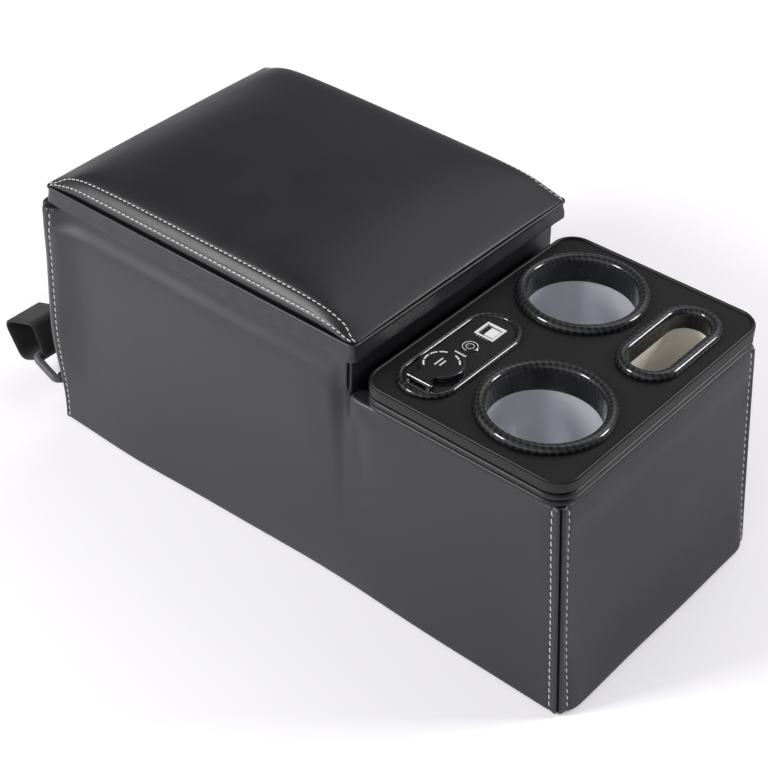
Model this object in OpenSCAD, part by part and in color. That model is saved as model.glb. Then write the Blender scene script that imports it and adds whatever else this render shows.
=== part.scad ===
// Car centre armrest: a two-level box of plywood boards under padded leather, with a
// hinged padded lid over the tall rear part and a moulded cup panel on the low front part.
// X runs across the box, +Y to the hinge side, +Z up. The origin is on the floor, under
// the middle of the box. All sizes are in millimetres.

/* [Body] */
// Length of the tall rear part, from the step wall to the rear face
box_l = 259; // [200:1:320]
// Height of the leather rim under the cup panel
low_h = 158; // [140:1:190]
// How far the leather rim under the lid stands above the one under the cup panel
step_h = 26; // [22:1:60]
// How far each side leans in from the foot to the lid
side_lean = 2.5; // [0:0.5:4]
// How far the front face leans back from the foot to the cup panel
front_lean = 13; // [0:0.5:14]
// How far the rear face stands out at the foot
rear_lean = 6.5; // [0:0.5:8]
// Height of the upright band at the top of the rear face, behind the hinges
rear_flat = 40; // [35:1:60]
// Radius of the upright corners
corner_r = 8; // [4:0.5:12]
// Thickness of the plywood boards
board_t = 8; // [6:0.5:8]
// Thickness of the leather with its foam padding
pad_t = 3.5; // [3:0.5:5]
// Thickness of the leather hem that is folded under the box
hem_t = 1.6; // [1:0.2:2]
// Width of the leather hem under the box
hem_w = 16; // [10:1:25]
// Thickness of the anti-slip mat under the box
mat_t = 2.8; // [2.6:0.2:5]
// Thickness of the flocked liner in the storage box
liner_t = 1.5; // [1:0.5:3]

/* [Lid] */
// Gap between the leather rim of the box and the closed lid
lid_gap = 1.5; // [1:0.1:3]
// How far the lid stands out past each side of the box
lid_over = 3.5; // [2:0.5:5]
// How far the lid stands out past the step wall
lid_front_over = 6; // [4:0.5:8]
// Height of the leather-wrapped edge of the lid
lid_edge_h = 11.5; // [10:0.5:16]
// Corner radius of the lid
lid_r = 10; // [9.5:0.5:16]
// Thickness of the leather round the lid board
lid_wrap_t = 1.5; // [1:0.1:2]
// Width of the leather turned in under the lid
lid_turn_in = 9; // [6:0.5:9]
// Height of the crowned cushion at its middle
cushion_h = 25; // [20:1:35]

/* [Cup panel] */
// How far the cup panel stands out past each side of the box's upper rim
panel_over = 3; // [2:0.1:4]
// How far the cup panel stands out past the front of the leather rim
panel_front_over = 1.5; // [0:0.1:3]
// Gap between the cup panel and the step wall
panel_back_gap = 9.5; // [8:0.5:11]
// Corner radius of the cup panel
panel_r = 16; // [15.5:0.5:24]
// Radius of the two beads round the panel frame
bead_r = 2.1; // [1.6:0.1:2.2]
// Width of the frame's foot on the leather rim
frame_flange_w = 13; // [11:0.5:13]
// Height of the dark groove between the beads and the panel
groove_h = 2.2; // [1.5:0.1:3]
// Height of the panel's skirt
skirt_h = 6.5; // [5:0.1:8]
// Wall thickness of the cup panel
panel_t = 3; // [2:0.5:3]
// Height of the raised rim round the panel
rim_h = 1.3; // [0.8:0.1:1.5]

/* [Cup holders] */
// Radius of the hole that a cup goes into
cup_r = 35; // [30:0.5:45]
// Width of the glossy ring round a cup hole
ring_w = 7.5; // [7:0.5:8]
// Depth of the ring's collar below the panel
collar_h = 18; // [12:1:25]
// Wall of the ring's collar
collar_t = 1.3; // [1:0.1:1.6]
// Distance of each cup's ring from the side of the panel
cup_side_gap = 10; // [10:0.5:16]
// Distance of the left cup's ring from the front of the panel
cup_front_gap = 8.5; // [8:0.5:16]
// Distance of the right cup's ring from the back of the panel
cup_back_gap = 6; // [5:0.5:16]
// Smallest gap across the box between a ring and the trim beside it
gap_x = 8; // [4:0.5:30]
// Smallest gap along the box between a ring and the trim beside it
gap_y = 5.5; // [4:0.5:30]
// Depth of a cup holder below the panel
cup_depth = 70; // [60:1:90]
// Wall of the satin cup liner
cup_wall = 1.2; // [0.8:0.1:1.6]

/* [Card slot] */
// Length over the slot's trim
slot_l = 84; // [70:1:100]
// Width over the slot's trim
slot_w = 42; // [36:0.5:52]
// Distance of the slot's trim from the right side of the panel
slot_side_gap = 18; // [10:0.5:24]
// Distance of the slot's trim from the front of the panel
slot_front_gap = 10; // [8:0.5:16]
// Depth of the slot's collar below the panel
slot_collar_h = 10; // [6:1:14]
// Depth of the pocket below the panel
slot_depth = 62; // [40:1:80]
// Wall of the pocket liner
slot_wall = 1.4; // [1:0.1:2]

/* [Charger] */
// Length over the charger's trim
charger_l = 98; // [96:1:104]
// Width over the charger's trim
charger_w = 40; // [38:0.5:42]
// Width of the trim round the charger plate
charger_trim_w = 4.5; // [3.5:0.1:4.8]
// Distance of the charger's trim from the left side of the panel
charger_side_gap = 10; // [8:0.5:16]
// Distance of the charger's trim from the back of the panel
charger_back_gap = 10; // [8:0.5:16]
// Thickness of the charger's face plate
plate_t = 3; // [2:0.5:3]
// Height of the face plate above the panel
plate_up = 1.5; // [1:0.1:2]
// Depth of the charger's housing below its face plate
housing_h = 56; // [52:1:66]
// Wall of the charger's housing
housing_t = 2.7; // [2:0.1:3]
// Radius of the power socket's bore
socket_r = 10.5; // [10.4:0.1:11]
// Wall of the power socket
socket_t = 1.3; // [0.8:0.1:1.5]
// Depth of the power socket
socket_h = 44; // [38:1:46]
// Distance of the power socket from the middle of the charger
socket_dx = 18; // [17.5:0.1:18.5]
// Radius of the socket's flip cap
cap_r = 14.2; // [13.6:0.1:14.6]
// Thickness of the flip cap
cap_t = 3; // [2.5:0.1:4]
// Half-width of the cap's hinge lug
lug_hw = 6; // [5:0.1:6.5]
// Radius of the cap's hinge pin
cap_pin_r = 0.8; // [0.6:0.1:1]
// Distance of the power button from the middle of the charger
button_dx = 9.5; // [9:0.1:10]
// Radius of the power button
button_r = 5.6; // [4.5:0.1:6]
// Travel of the power button
button_travel = 0.8; // [0.5:0.1:1]
// Outer side of the charging port's square frame
usb_frame_w = 14.3; // [13.5:0.1:15]
// Distance of the charging port from the middle of the charger
usb_dx = 29.5; // [28.5:0.1:30]
// Width of the light bar
led_w = 1.4; // [1:0.1:2]
// Length of the light bar
led_l = 8.4; // [6:0.1:10]

/* [Lid hinges] */
// Distance of each hinge's middle from the side of the lid
hinge_in = 48; // [40:1:70]
// Length of each hinge
hinge_l = 44; // [36:1:60]
// Thickness of a hinge leaf
leaf_t = 1.2; // [1:0.1:1.5]
// Radius of a hinge knuckle
knuckle_r = 2.6; // [2.2:0.1:2.8]
// Radius of a hinge pin
hinge_pin_r = 1.2; // [1:0.1:1.4]
// Height of the fixed leaf
leaf_h = 26; // [20:1:30]

/* [Strap] */
// Width of the webbing
web_w = 30; // [24:1:34]
// Thickness of the webbing
web_t = 1.6; // [1.2:0.1:2]
// Distance of the strap's middle from the left side of the box
strap_in = 26; // [25:1:60]
// Distance of the strap ring's middle from the upright band of the rear face
ring_out_y = 30; // [26:1:40]
// Radius of the round bars of the strap ring
bar_r = 3; // [2.5:0.1:3.5]
// Tilt of the strap ring, in degrees
ring_tilt = 25; // [15:1:30]
// Distance from the middle of the ring to each of its crossbars
bar_reach = 12; // [11:0.5:16]

/* [Hidden] */
$fn = 64;

// Clearances: beside a soft piece, in a sliding fit, and round a pin or a screw
soft_gap = 0.3;
slide_gap = 0.3;
pin_gap = 0.05;
// Reach of a cutting shape past the solid that it cuts
cut = 1;
// Half-size of the blocks that pick one side of the box
far = 400;

// The cup panel is as wide and as long as the fullest row and column of its fittings
ring_out = cup_r + ring_w;
front_row = cup_side_gap + 2 * ring_out + gap_x + slot_l + slot_side_gap;
rear_row = charger_side_gap + charger_l + gap_x + 2 * ring_out + cup_side_gap;
left_column = cup_front_gap + 2 * ring_out + gap_y + charger_w + charger_back_gap;
right_column = slot_front_gap + slot_w + gap_y + 2 * ring_out + cup_back_gap;
panel_w = max(front_row, rear_row);
panel_l = max(left_column, right_column);

// Width over the leather at the foot, length of the low front part and height of the rear rim
box_h = low_h + step_h;
body_w = panel_w - 2 * panel_over + 2 * side_lean;
low_l = panel_l + panel_back_gap - panel_front_over;

// Faces of the box
y_front = -(low_l + box_l) / 2;
y_rear = (low_l + box_l) / 2;
y_step = y_front + low_l;
flat_z = box_h - rear_flat;
hem_z = mat_t - hem_t;
floor_z = mat_t + board_t;
function side_at(z) = body_w / 2 - side_lean * z / box_h;
function front_at(z) = y_front - front_lean * (1 - z / low_h);
function rear_at(z) = y_rear + rear_lean * max(0, 1 - z / flat_z);

// Outer and inner faces of the boards
board_x = side_at(box_h) - pad_t;
inner_x = board_x - board_t;
low_top = low_h - pad_t;
box_top = box_h - pad_t;
rear_in = y_rear - pad_t - board_t;
step_in = y_step + pad_t + board_t;

// Lid
lid_w = 2 * (side_at(box_h) + lid_over);
lid_y0 = y_step - lid_front_over;
lid_l = y_rear - lid_y0;
lid_yc = (y_rear + lid_y0) / 2;
lid_z = box_h + lid_gap;
lid_top = lid_z + lid_edge_h;
cushion_z = lid_top + soft_gap;

// Panel frame and cup panel
panel_y0 = y_front - panel_front_over;
panel_y1 = y_step - panel_back_gap;
panel_yc = (panel_y0 + panel_y1) / 2;
bead_step = 2 * bead_r + 0.4;
bead_h = bead_step + 2 * bead_r;
frame_flange_t = 3;
frame_wall_w = 6;
frame_neck_in = 2.5;
skirt_z = low_h + bead_h + groove_h;
panel_top = skirt_z + skirt_h;
panel_under = panel_top - panel_t;

// Rings and liners
ring_foot = 1.2;
cup_x = panel_w / 2 - cup_side_gap - ring_out;
left_cup_y = panel_y0 + cup_front_gap + ring_out;
right_cup_y = panel_y1 - cup_back_gap - ring_out;
slot_x = panel_w / 2 - slot_side_gap - slot_l / 2;
slot_y = panel_y0 + slot_front_gap + slot_w / 2;
cup_hole_r = cup_r + collar_t + 0.7;
liner_in = cup_r + collar_t + slide_gap;
liner_out = liner_in + cup_wall;
liner_flange = liner_out + 2.4;
slot_hole_in = ring_w - collar_t - 0.5;
slot_liner_in = ring_w - collar_t - slide_gap;

// Charger
charger_x = panel_w / 2 - charger_side_gap - charger_l / 2;
charger_cy = panel_y1 - charger_back_gap - charger_w / 2;
plate_z1 = panel_top + plate_up;
plate_z0 = plate_z1 - plate_t;
trim_foot = 0.9;
hole_in = charger_trim_w - 1.5;
plate_in = charger_trim_w + 0.2;
housing_in = charger_trim_w - 1.2;
housing_z0 = plate_z0 - housing_h;
housing_floor = 2;
// The housing's end is flat where it passes the side board and the panel frame
housing_end = inner_x - 0.5;
housing_step_z = low_h + frame_flange_t + 0.5;
socket_x = -charger_x - socket_dx;
button_x = -charger_x + button_dx;
led_x = -charger_x;
usb_x = -charger_x + usb_dx;
socket_out = socket_r + socket_t;
flange_t = 0.6;
flange_r = socket_out + 1.4;
socket_z1 = plate_z1 + flange_t;
socket_z0 = socket_z1 - socket_h;
socket_floor = 2;
// The foot of the barrel is narrower, and the centre contact stays below its upper end
socket_foot_h = 3.5;
socket_foot_r = socket_r - 0.6;
cap_z = socket_z1 + slide_gap;
cap_pin_x = socket_x - cap_r - 5.8;
cap_pin_z = cap_z + cap_t / 2;
lug_r = cap_t / 2 + 0.3;
ear_t = 2.2;
ear_r = cap_t / 2 + 0.6;
pcb_t = 1.6;
pcb_drop = 20.4;
pcb_top = plate_z0 - pcb_drop;
board_z = pcb_top - pcb_t;
pcb_rim = 2.3;
pcb_rib_t = 2;
pcb_x0 = led_x - led_w / 2 - pcb_rim;
pcb_x1 = usb_x + usb_frame_w / 2;
pcb_hw = 9;
button_top = plate_z1 + 0.5;
button_flange_t = 1.2;
stem_r = 2;
switch_w = 6;
switch_h = 3;
stem_z = pcb_top + switch_h + button_travel + slide_gap;
usb_wall = 1.3;
usb_shell_w = usb_frame_w - 2 * usb_wall - 0.3;
usb_shell_t = 0.5;
usb_block_x = 8.2;
usb_block_y = 7;

// Lid hinges
hinge_x = lid_w / 2 - hinge_in;
hinge_y = y_rear + knuckle_r + 0.4;
hinge_z = box_h + lid_gap / 2;
knuckle_gap = 0.3;
// The lid's knuckle ends at knuckle_x0 and the box's knuckles start at knuckle_x1
knuckle_x0 = hinge_l / 6;
knuckle_x1 = knuckle_x0 + knuckle_gap;
lid_leaf_h = lid_edge_h - 1.5;
leaf_clear = knuckle_r + 0.4;
hinge_bore_r = hinge_pin_r + pin_gap;

// Screws
screw_r = 1.4;
head_r = 2.6;
head_h = 1.1;
leaf_screw_l = 10;
lid_screw_l = 9;
frame_screw_l = 16;
anchor_screw_l = 15;
body_screw_z = hinge_z - 17;
lid_screw_z = hinge_z + 7;
screw_dx = 14;
// The frame's screws stand this far from the outer face of the boards, and from each other
screw_edge = 3.5;
screw_back = 22;
screw_front = 34;
screw_side = panel_w / 5;
frame_screw_in = panel_w / 2 - board_x + screw_edge;

// Strap
web_gap = 0.3;
wrap_r = bar_r + web_gap + web_t;
strap_x = side_at(0) - strap_in;
ring_in = web_w + 2;
ring_y = y_rear + ring_out_y;
ring_z = 27;
near_bar = [ring_y - bar_reach * cos(ring_tilt), ring_z - bar_reach * sin(ring_tilt)];
far_bar = [ring_y + bar_reach * cos(ring_tilt), ring_z + bar_reach * sin(ring_tilt)];
// Corners of the strap loop past the far bar, as [y, z, radius]
loop_pts = [[8, 18.4, 5], [28.6, 9, 7], [19, -7, 7]];
flap_z0 = 7;
flap_y = rear_at(flap_z0) + web_gap;
anchor_t = 1.5;
anchor_h = near_bar[1] - web_t - web_gap - flap_z0;
anchor_z = flap_z0 + anchor_h / 2;

// Extrudes a profile drawn in Y and Z along X
module along_x(x0, x1) {
    translate([x0, 0, 0]) rotate([90, 0, 90]) linear_extrude(x1 - x0) children();
}

// Extrudes a profile drawn in X and Z along Y
module along_y(y0, y1) {
    translate([0, y1, 0]) rotate([90, 0, 0]) linear_extrude(y1 - y0) children();
}

// Rectangle with round corners, about the origin
module round_rect(lx, ly, r) {
    square([lx - 2 * r, ly], center = true);
    square([lx, ly - 2 * r], center = true);
    for (sx = [-1, 1], sy = [-1, 1]) translate([sx * (lx / 2 - r), sy * (ly / 2 - r)]) circle(r);
}

// Slot shape with half-round ends, along X
module stadium(l, w) {
    square([l - w, w], center = true);
    for (s = [-1, 1]) translate([s * (l - w) / 2, 0]) circle(w / 2);
}

// Carries a profile round a rectangle with round corners. The profile's x is 0 on the
// outline and negative inside it.
module around(lx, ly, r) {
    for (k = [0:3]) rotate(90 * k) {
        a = k % 2 == 0 ? lx : ly;
        b = k % 2 == 0 ? ly : lx;
        translate([a / 2 - r, b / 2 - r, 0]) rotate_extrude(angle = 90) translate([r, 0]) children();
        if (b > 2 * r) translate([a / 2 - r, 0, 0]) rotate([90, 0, 0])
            linear_extrude(b - 2 * r, center = true) translate([r, 0]) children();
    }
}

// Countersunk screw with its head's top at the origin and its shank pointing down
module screw(len) {
    translate([0, 0, -head_h]) cylinder(h = head_h, r1 = screw_r, r2 = head_r);
    translate([0, 0, -len]) cylinder(h = len - head_h, r = screw_r);
}

// Room for such a screw
module screw_hole(len) {
    translate([0, 0, -len - pin_gap]) cylinder(h = len + cut, r = screw_r + pin_gap);
}

// Countersink for the head
module head_hole() {
    translate([0, 0, -head_h]) cylinder(h = head_h, r1 = screw_r + pin_gap, r2 = head_r + pin_gap);
}

module hinge_screw_places(z) {
    for (x = [-hinge_x, hinge_x], dx = [-screw_dx, screw_dx])
        translate([x + dx, y_rear + leaf_t, z]) rotate([-90, 0, 0]) children();
}

module frame_screw_places() {
    half_w = panel_w / 2 - frame_screw_in;
    y0 = y_front + pad_t + screw_edge;
    for (s = [-1, 1], y = [panel_y1 - screw_back, panel_yc, panel_y0 + screw_front])
        translate([s * half_w, y, low_h + frame_flange_t]) children();
    for (s = [-1, 1]) translate([s * screw_side, y0, low_h + frame_flange_t]) children();
}

module anchor_screw_places() {
    for (s = [-1, 1])
        translate([s * web_w * 0.28 - strap_x, flap_y + 2 * web_t + anchor_t, anchor_z])
            rotate([-90, 0, 0]) children();
}

// Side profile of the space inside the leather
module core_profile() {
    polygon([
        [front_at(mat_t) + pad_t, mat_t], [rear_at(mat_t) - pad_t, mat_t],
        [y_rear - pad_t, flat_z], [y_rear - pad_t, box_top],
        [y_step + pad_t, box_top], [y_step + pad_t, low_top],
        [front_at(low_top) + pad_t, low_top]
    ]);
}

// Boards
module base_board() {
    color("burlywood") along_x(-inner_x, inner_x) polygon([
        [front_at(mat_t) + pad_t + board_t, mat_t], [rear_at(mat_t) - pad_t - board_t, mat_t],
        [rear_at(floor_z) - pad_t - board_t, floor_z], [front_at(floor_z) + pad_t + board_t, floor_z]
    ]);
}

module side_board() {
    difference() {
        along_x(inner_x, board_x) core_profile();
        frame_screw_places() screw_hole(frame_screw_l);
    }
}

module right_board() {
    color("burlywood") side_board();
}

module left_board() {
    color("burlywood") mirror([1, 0, 0]) side_board();
}

module front_board() {
    color("burlywood") difference() {
        along_x(-inner_x, inner_x) polygon([
            [front_at(mat_t) + pad_t, mat_t], [front_at(mat_t) + pad_t + board_t, mat_t],
            [front_at(low_top) + pad_t + board_t, low_top], [front_at(low_top) + pad_t, low_top]
        ]);
        frame_screw_places() screw_hole(frame_screw_l);
    }
}

module rear_board() {
    color("burlywood") difference() {
        along_x(-inner_x, inner_x) polygon([
            [rear_at(mat_t) - pad_t - board_t, mat_t], [rear_at(mat_t) - pad_t, mat_t],
            [y_rear - pad_t, flat_z], [y_rear - pad_t, box_top],
            [rear_in, box_top], [rear_in, flat_z]
        ]);
        hinge_screw_places(body_screw_z) screw_hole(leaf_screw_l);
        anchor_screw_places() screw_hole(anchor_screw_l);
    }
}

module step_board() {
    color("burlywood") along_x(-inner_x, inner_x)
        translate([y_step + pad_t, floor_z]) square([board_t, box_top - floor_z]);
}

// Outer form of the leather-covered box
module body_form() {
    intersection() {
        along_x(-far, far) polygon([
            [front_at(hem_z), hem_z], [rear_at(hem_z), hem_z],
            [y_rear, flat_z], [y_rear, box_h], [front_at(box_h), box_h]
        ]);
        along_y(-far, far) polygon([
            [-side_at(hem_z), hem_z], [side_at(hem_z), hem_z],
            [side_at(box_h), box_h], [-side_at(box_h), box_h]
        ]);
        union() {
            for (part = [[front_at(0), low_h], [y_step, box_h]]) {
                l = rear_at(0) - part[0];
                translate([0, part[0] + l / 2, 0]) linear_extrude(part[1]) round_rect(body_w, l, corner_r);
            }
        }
    }
}

// The whole leather shell: walls, rims turned in over the boards and the hem below
module leather() {
    deck_y0 = front_at(low_h) + pad_t + board_t;
    difference() {
        body_form();
        along_x(-board_x, board_x) core_profile();
        translate([-inner_x, deck_y0, low_top - cut])
            cube([2 * inner_x, y_step - deck_y0, pad_t + 2 * cut]);
        translate([-inner_x, step_in, box_top - cut])
            cube([2 * inner_x, rear_in - step_in, pad_t + 2 * cut]);
        translate([-board_x + hem_w, front_at(0) + pad_t + hem_w, 0])
            cube([2 * (board_x - hem_w), rear_at(0) - front_at(0) - 2 * (pad_t + hem_w), mat_t + cut]);
        frame_screw_places() screw_hole(frame_screw_l);
        hinge_screw_places(body_screw_z) screw_hole(leaf_screw_l);
        anchor_screw_places() screw_hole(anchor_screw_l);
    }
}

// Plan of the left cover: all that lies outside the board, and its mitred rim
module side_plan() {
    y0 = y_front + pad_t;
    y1 = y_rear - pad_t;
    m = 2 * hem_w;
    polygon([
        [-far, -far], [-board_x, -far], [-board_x, y0], [m - board_x, y0 + m],
        [m - board_x, y1 - m], [-board_x, y1], [-board_x, far], [-far, far]
    ]);
}

// Plan of the front cover, between the seams at the two corners
module front_plan() {
    y0 = y_front + pad_t;
    m = 2 * hem_w;
    polygon([
        [-board_x, -far], [board_x, -far], [board_x, y0],
        [board_x - m, y0 + m], [m - board_x, y0 + m], [-board_x, y0]
    ]);
}

module rear_plan() {
    y1 = y_rear - pad_t;
    m = 2 * hem_w;
    polygon([
        [-board_x, far], [board_x, far], [board_x, y1],
        [board_x - m, y1 - m], [m - board_x, y1 - m], [-board_x, y1]
    ]);
}

// Room of the leather on the step wall and over its top edge
module step_zone() {
    y = y_step + pad_t;
    m = board_t + cut;
    translate([0, 0, low_top]) linear_extrude(box_h) polygon([
        [-board_x, y_step - cut], [board_x, y_step - cut], [board_x, y],
        [board_x - m, y + m], [m - board_x, y + m], [-board_x, y]
    ]);
}

module left_cover() {
    color([0.16, 0.16, 0.17]) difference() {
        intersection() {
            leather();
            linear_extrude(2 * box_h) side_plan();
        }
        step_zone();
    }
}

module right_cover() {
    color([0.16, 0.16, 0.17]) difference() {
        intersection() {
            leather();
            linear_extrude(2 * box_h) mirror([1, 0]) side_plan();
        }
        step_zone();
    }
}

module front_cover() {
    color([0.18, 0.18, 0.19]) intersection() {
        leather();
        linear_extrude(2 * box_h) front_plan();
    }
}

module rear_cover() {
    color([0.18, 0.18, 0.19]) intersection() {
        leather();
        linear_extrude(2 * box_h) rear_plan();
    }
}

module step_cover() {
    color([0.14, 0.14, 0.15]) intersection() {
        leather();
        step_zone();
    }
}

module base_mat() {
    in = hem_w + soft_gap;
    l = rear_at(0) - front_at(0) - 2 * (pad_t + in);
    color([0.1, 0.1, 0.1]) translate([0, (rear_at(0) + front_at(0)) / 2, 0])
        linear_extrude(mat_t) square([2 * (board_x - in), l], center = true);
}

// Flocked bin that lines the storage box
module storage_liner() {
    x = inner_x - soft_gap;
    y0 = step_in + soft_gap;
    y1 = rear_in - soft_gap;
    color([0.2, 0.2, 0.21]) difference() {
        translate([-x, y0, floor_z]) cube([2 * x, y1 - y0, box_h - 1 - floor_z]);
        translate([liner_t - x, y0 + liner_t, floor_z + liner_t])
            cube([2 * (x - liner_t), y1 - y0 - 2 * liner_t, box_h]);
    }
}

// Moulded frame with two beads, screwed down on the leather rim under the cup panel
module tray_frame() {
    color([0.1, 0.1, 0.11]) difference() {
        translate([0, panel_yc, low_h]) around(panel_w, panel_l, panel_r) {
            translate([-frame_flange_w, 0]) square([frame_flange_w - bead_r, frame_flange_t]);
            translate([-frame_wall_w, 0]) square([frame_wall_w - bead_r, bead_h]);
            translate([-frame_wall_w, 0])
                square([frame_wall_w - frame_neck_in, bead_h + groove_h]);
            for (i = [0, 1]) translate([-bead_r, bead_r + i * bead_step]) circle(bead_r);
        }
        frame_screw_places() {
            screw_hole(frame_screw_l);
            head_hole();
        }
        cup_places() translate([0, 0, low_h - cut])
            cylinder(h = frame_flange_t + 2 * cut, r = liner_out + slide_gap);
    }
}

module frame_screws() {
    color("silver") frame_screw_places() screw(frame_screw_l);
}

module cup_places() {
    translate([-cup_x, left_cup_y, 0]) children();
    translate([cup_x, right_cup_y, 0]) children();
}

module slot_place() {
    translate([slot_x, slot_y, 0]) children();
}

module charger_place() {
    translate([-charger_x, charger_cy, 0]) children();
}

// Moulded panel with a skirt, a raised rim and openings for the cups, slot and charger
module cup_panel() {
    rim_r = 1.1;
    color([0.11, 0.11, 0.12]) difference() {
        translate([0, panel_yc, 0]) {
            translate([0, 0, panel_under]) linear_extrude(panel_t)
                round_rect(panel_w - panel_t, panel_l - panel_t, panel_r - panel_t / 2);
            around(panel_w, panel_l, panel_r) {
                translate([-panel_t, skirt_z]) square([panel_t, skirt_h]);
                translate([-panel_t / 2, panel_top + rim_h - rim_r]) circle(rim_r);
            }
        }
        cup_places() translate([0, 0, panel_under - cut]) cylinder(h = panel_t + 2 * cut, r = cup_hole_r);
        slot_place() translate([0, 0, panel_under - cut]) linear_extrude(panel_t + 2 * cut)
            stadium(slot_l - 2 * slot_hole_in, slot_w - 2 * slot_hole_in);
        charger_place() translate([0, 0, panel_under - cut]) linear_extrude(panel_t + 2 * cut)
            stadium(charger_l - 2 * hole_in, charger_w - 2 * hole_in);
    }
}

// Section of a glossy trim: a round-topped bead with a collar at its inner edge
module trim_section(w, foot, collar) {
    translate([-w, 0]) square([w, foot]);
    intersection() {
        translate([-w / 2, foot]) circle(w / 2);
        translate([-w, 0]) square([w, w]);
    }
    if (collar > 0) translate([-w, -collar]) square([collar_t, collar + foot]);
}

module cup_ring() {
    translate([0, 0, panel_top]) rotate_extrude() translate([ring_out, 0])
        trim_section(ring_w, ring_foot, collar_h);
}

module cup_ring_left() {
    color([0.13, 0.14, 0.15]) translate([-cup_x, left_cup_y, 0]) cup_ring();
}

module cup_ring_right() {
    color([0.13, 0.14, 0.15]) translate([cup_x, right_cup_y, 0]) cup_ring();
}

// Satin cup that hangs by its flange under the panel
module cup_liner() {
    z0 = panel_top - cup_depth;
    difference() {
        union() {
            translate([0, 0, z0 - cup_wall]) cylinder(h = panel_under - z0 + cup_wall, r = liner_out);
            translate([0, 0, panel_under - cup_wall]) cylinder(h = cup_wall, r = liner_flange);
        }
        translate([0, 0, z0]) cylinder(h = cup_depth, r = liner_in);
    }
}

module cup_liner_left() {
    color("lightgray") translate([-cup_x, left_cup_y, 0]) cup_liner();
}

module cup_liner_right() {
    color("lightgray") translate([cup_x, right_cup_y, 0]) cup_liner();
}

module slot_trim() {
    color([0.13, 0.14, 0.15]) slot_place() translate([0, 0, panel_top])
        around(slot_l, slot_w, slot_w / 2) trim_section(ring_w, ring_foot, slot_collar_h);
}

module slot_liner() {
    z0 = panel_top - slot_depth;
    in_l = slot_l - 2 * slot_liner_in;
    in_w = slot_w - 2 * slot_liner_in;
    color([0.8, 0.77, 0.7]) slot_place() difference() {
        union() {
            translate([0, 0, z0 - slot_wall]) linear_extrude(panel_under - z0 + slot_wall)
                stadium(in_l + 2 * slot_wall, in_w + 2 * slot_wall);
            translate([0, 0, panel_under - slot_wall]) linear_extrude(slot_wall)
                stadium(in_l + 4 * slot_wall, in_w + 4 * slot_wall);
        }
        translate([0, 0, z0]) linear_extrude(slot_depth) stadium(in_l, in_w);
    }
}

module charger_trim() {
    color([0.13, 0.14, 0.15]) charger_place() translate([0, 0, panel_top])
        around(charger_l, charger_w, charger_w / 2) {
            trim_section(charger_trim_w, trim_foot, 0);
            translate([-charger_trim_w, plate_z0 - panel_top])
                square([charger_trim_w - hole_in - 0.2, panel_top - plate_z0 + trim_foot]);
        }
}

// Glossy face plate with the openings for its fittings and the two ears of the cap hinge
module charger_plate() {
    color([0.06, 0.06, 0.07]) difference() {
        union() {
            charger_place() translate([0, 0, plate_z0]) linear_extrude(plate_t)
                stadium(charger_l - 2 * plate_in, charger_w - 2 * plate_in);
            for (s = [-1, 1]) translate([cap_pin_x, charger_cy + s * (lug_hw + slide_gap + ear_t / 2), 0]) {
                translate([0, 0, cap_pin_z]) rotate([90, 0, 0]) cylinder(h = ear_t, r = ear_r, center = true);
                translate([-ear_r, -ear_t / 2, plate_z1]) cube([2 * ear_r, ear_t, cap_pin_z - plate_z1]);
            }
        }
        translate([cap_pin_x, charger_cy, cap_pin_z]) rotate([90, 0, 0])
            cylinder(h = charger_w, r = cap_pin_r + pin_gap, center = true);
        translate([socket_x, charger_cy, plate_z0 - cut])
            cylinder(h = plate_t + 2 * cut, r = socket_out + 0.2);
        translate([button_x, charger_cy, plate_z0 - cut])
            cylinder(h = plate_t + 2 * cut, r = button_r + slide_gap);
        translate([usb_x, charger_cy, plate_z0 + plate_t / 2])
            cube([usb_frame_w + 0.2, usb_frame_w + 0.2, plate_t + 2 * cut], center = true);
        translate([led_x, charger_cy, plate_z0 + plate_t / 2])
            cube([led_w + 0.2, led_l + 0.2, plate_t + 2 * cut], center = true);
    }
}

// Box under the face plate, with two ribs that carry the circuit board
module charger_housing() {
    out_l = charger_l - 2 * housing_in;
    out_w = charger_w - 2 * housing_in;
    color([0.15, 0.15, 0.15]) {
        difference() {
            charger_place() translate([0, 0, housing_z0]) linear_extrude(housing_h) stadium(out_l, out_w);
            translate([-far, -far, 0]) cube([far - housing_end, 2 * far, housing_step_z]);
            difference() {
                charger_place() translate([0, 0, housing_z0 + housing_floor]) linear_extrude(housing_h)
                    stadium(out_l - 2 * housing_t, out_w - 2 * housing_t);
                translate([-far, -far, 0]) cube([far - housing_end + housing_t, 2 * far, 2 * box_h]);
            }
        }
        for (x = [pcb_x0 + pcb_rib_t, pcb_x1 - 2 * pcb_rib_t])
            translate([x, charger_cy - pcb_hw, housing_z0 + housing_floor])
                cube([pcb_rib_t, 2 * pcb_hw, board_z - housing_z0 - housing_floor]);
    }
}

module charger_board() {
    color("darkgreen") translate([pcb_x0, charger_cy - pcb_hw, board_z])
        cube([pcb_x1 - pcb_x0, 2 * pcb_hw, pcb_t]);
}

module button_switch() {
    color([0.3, 0.3, 0.3]) translate([button_x - switch_w / 2, charger_cy - switch_w / 2, pcb_top])
        cube([switch_w, switch_w, switch_h]);
}

module usb_frame() {
    color("white") translate([usb_x, charger_cy, plate_z0]) linear_extrude(plate_t + 0.3) difference() {
        square(usb_frame_w, center = true);
        square(usb_frame_w - 2 * usb_wall, center = true);
    }
}

module usb_shell() {
    color("silver") translate([usb_x, charger_cy, pcb_top])
        linear_extrude(plate_z1 - pcb_top - 0.3) difference() {
            square(usb_shell_w, center = true);
            square(usb_shell_w - 2 * usb_shell_t, center = true);
        }
}

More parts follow.
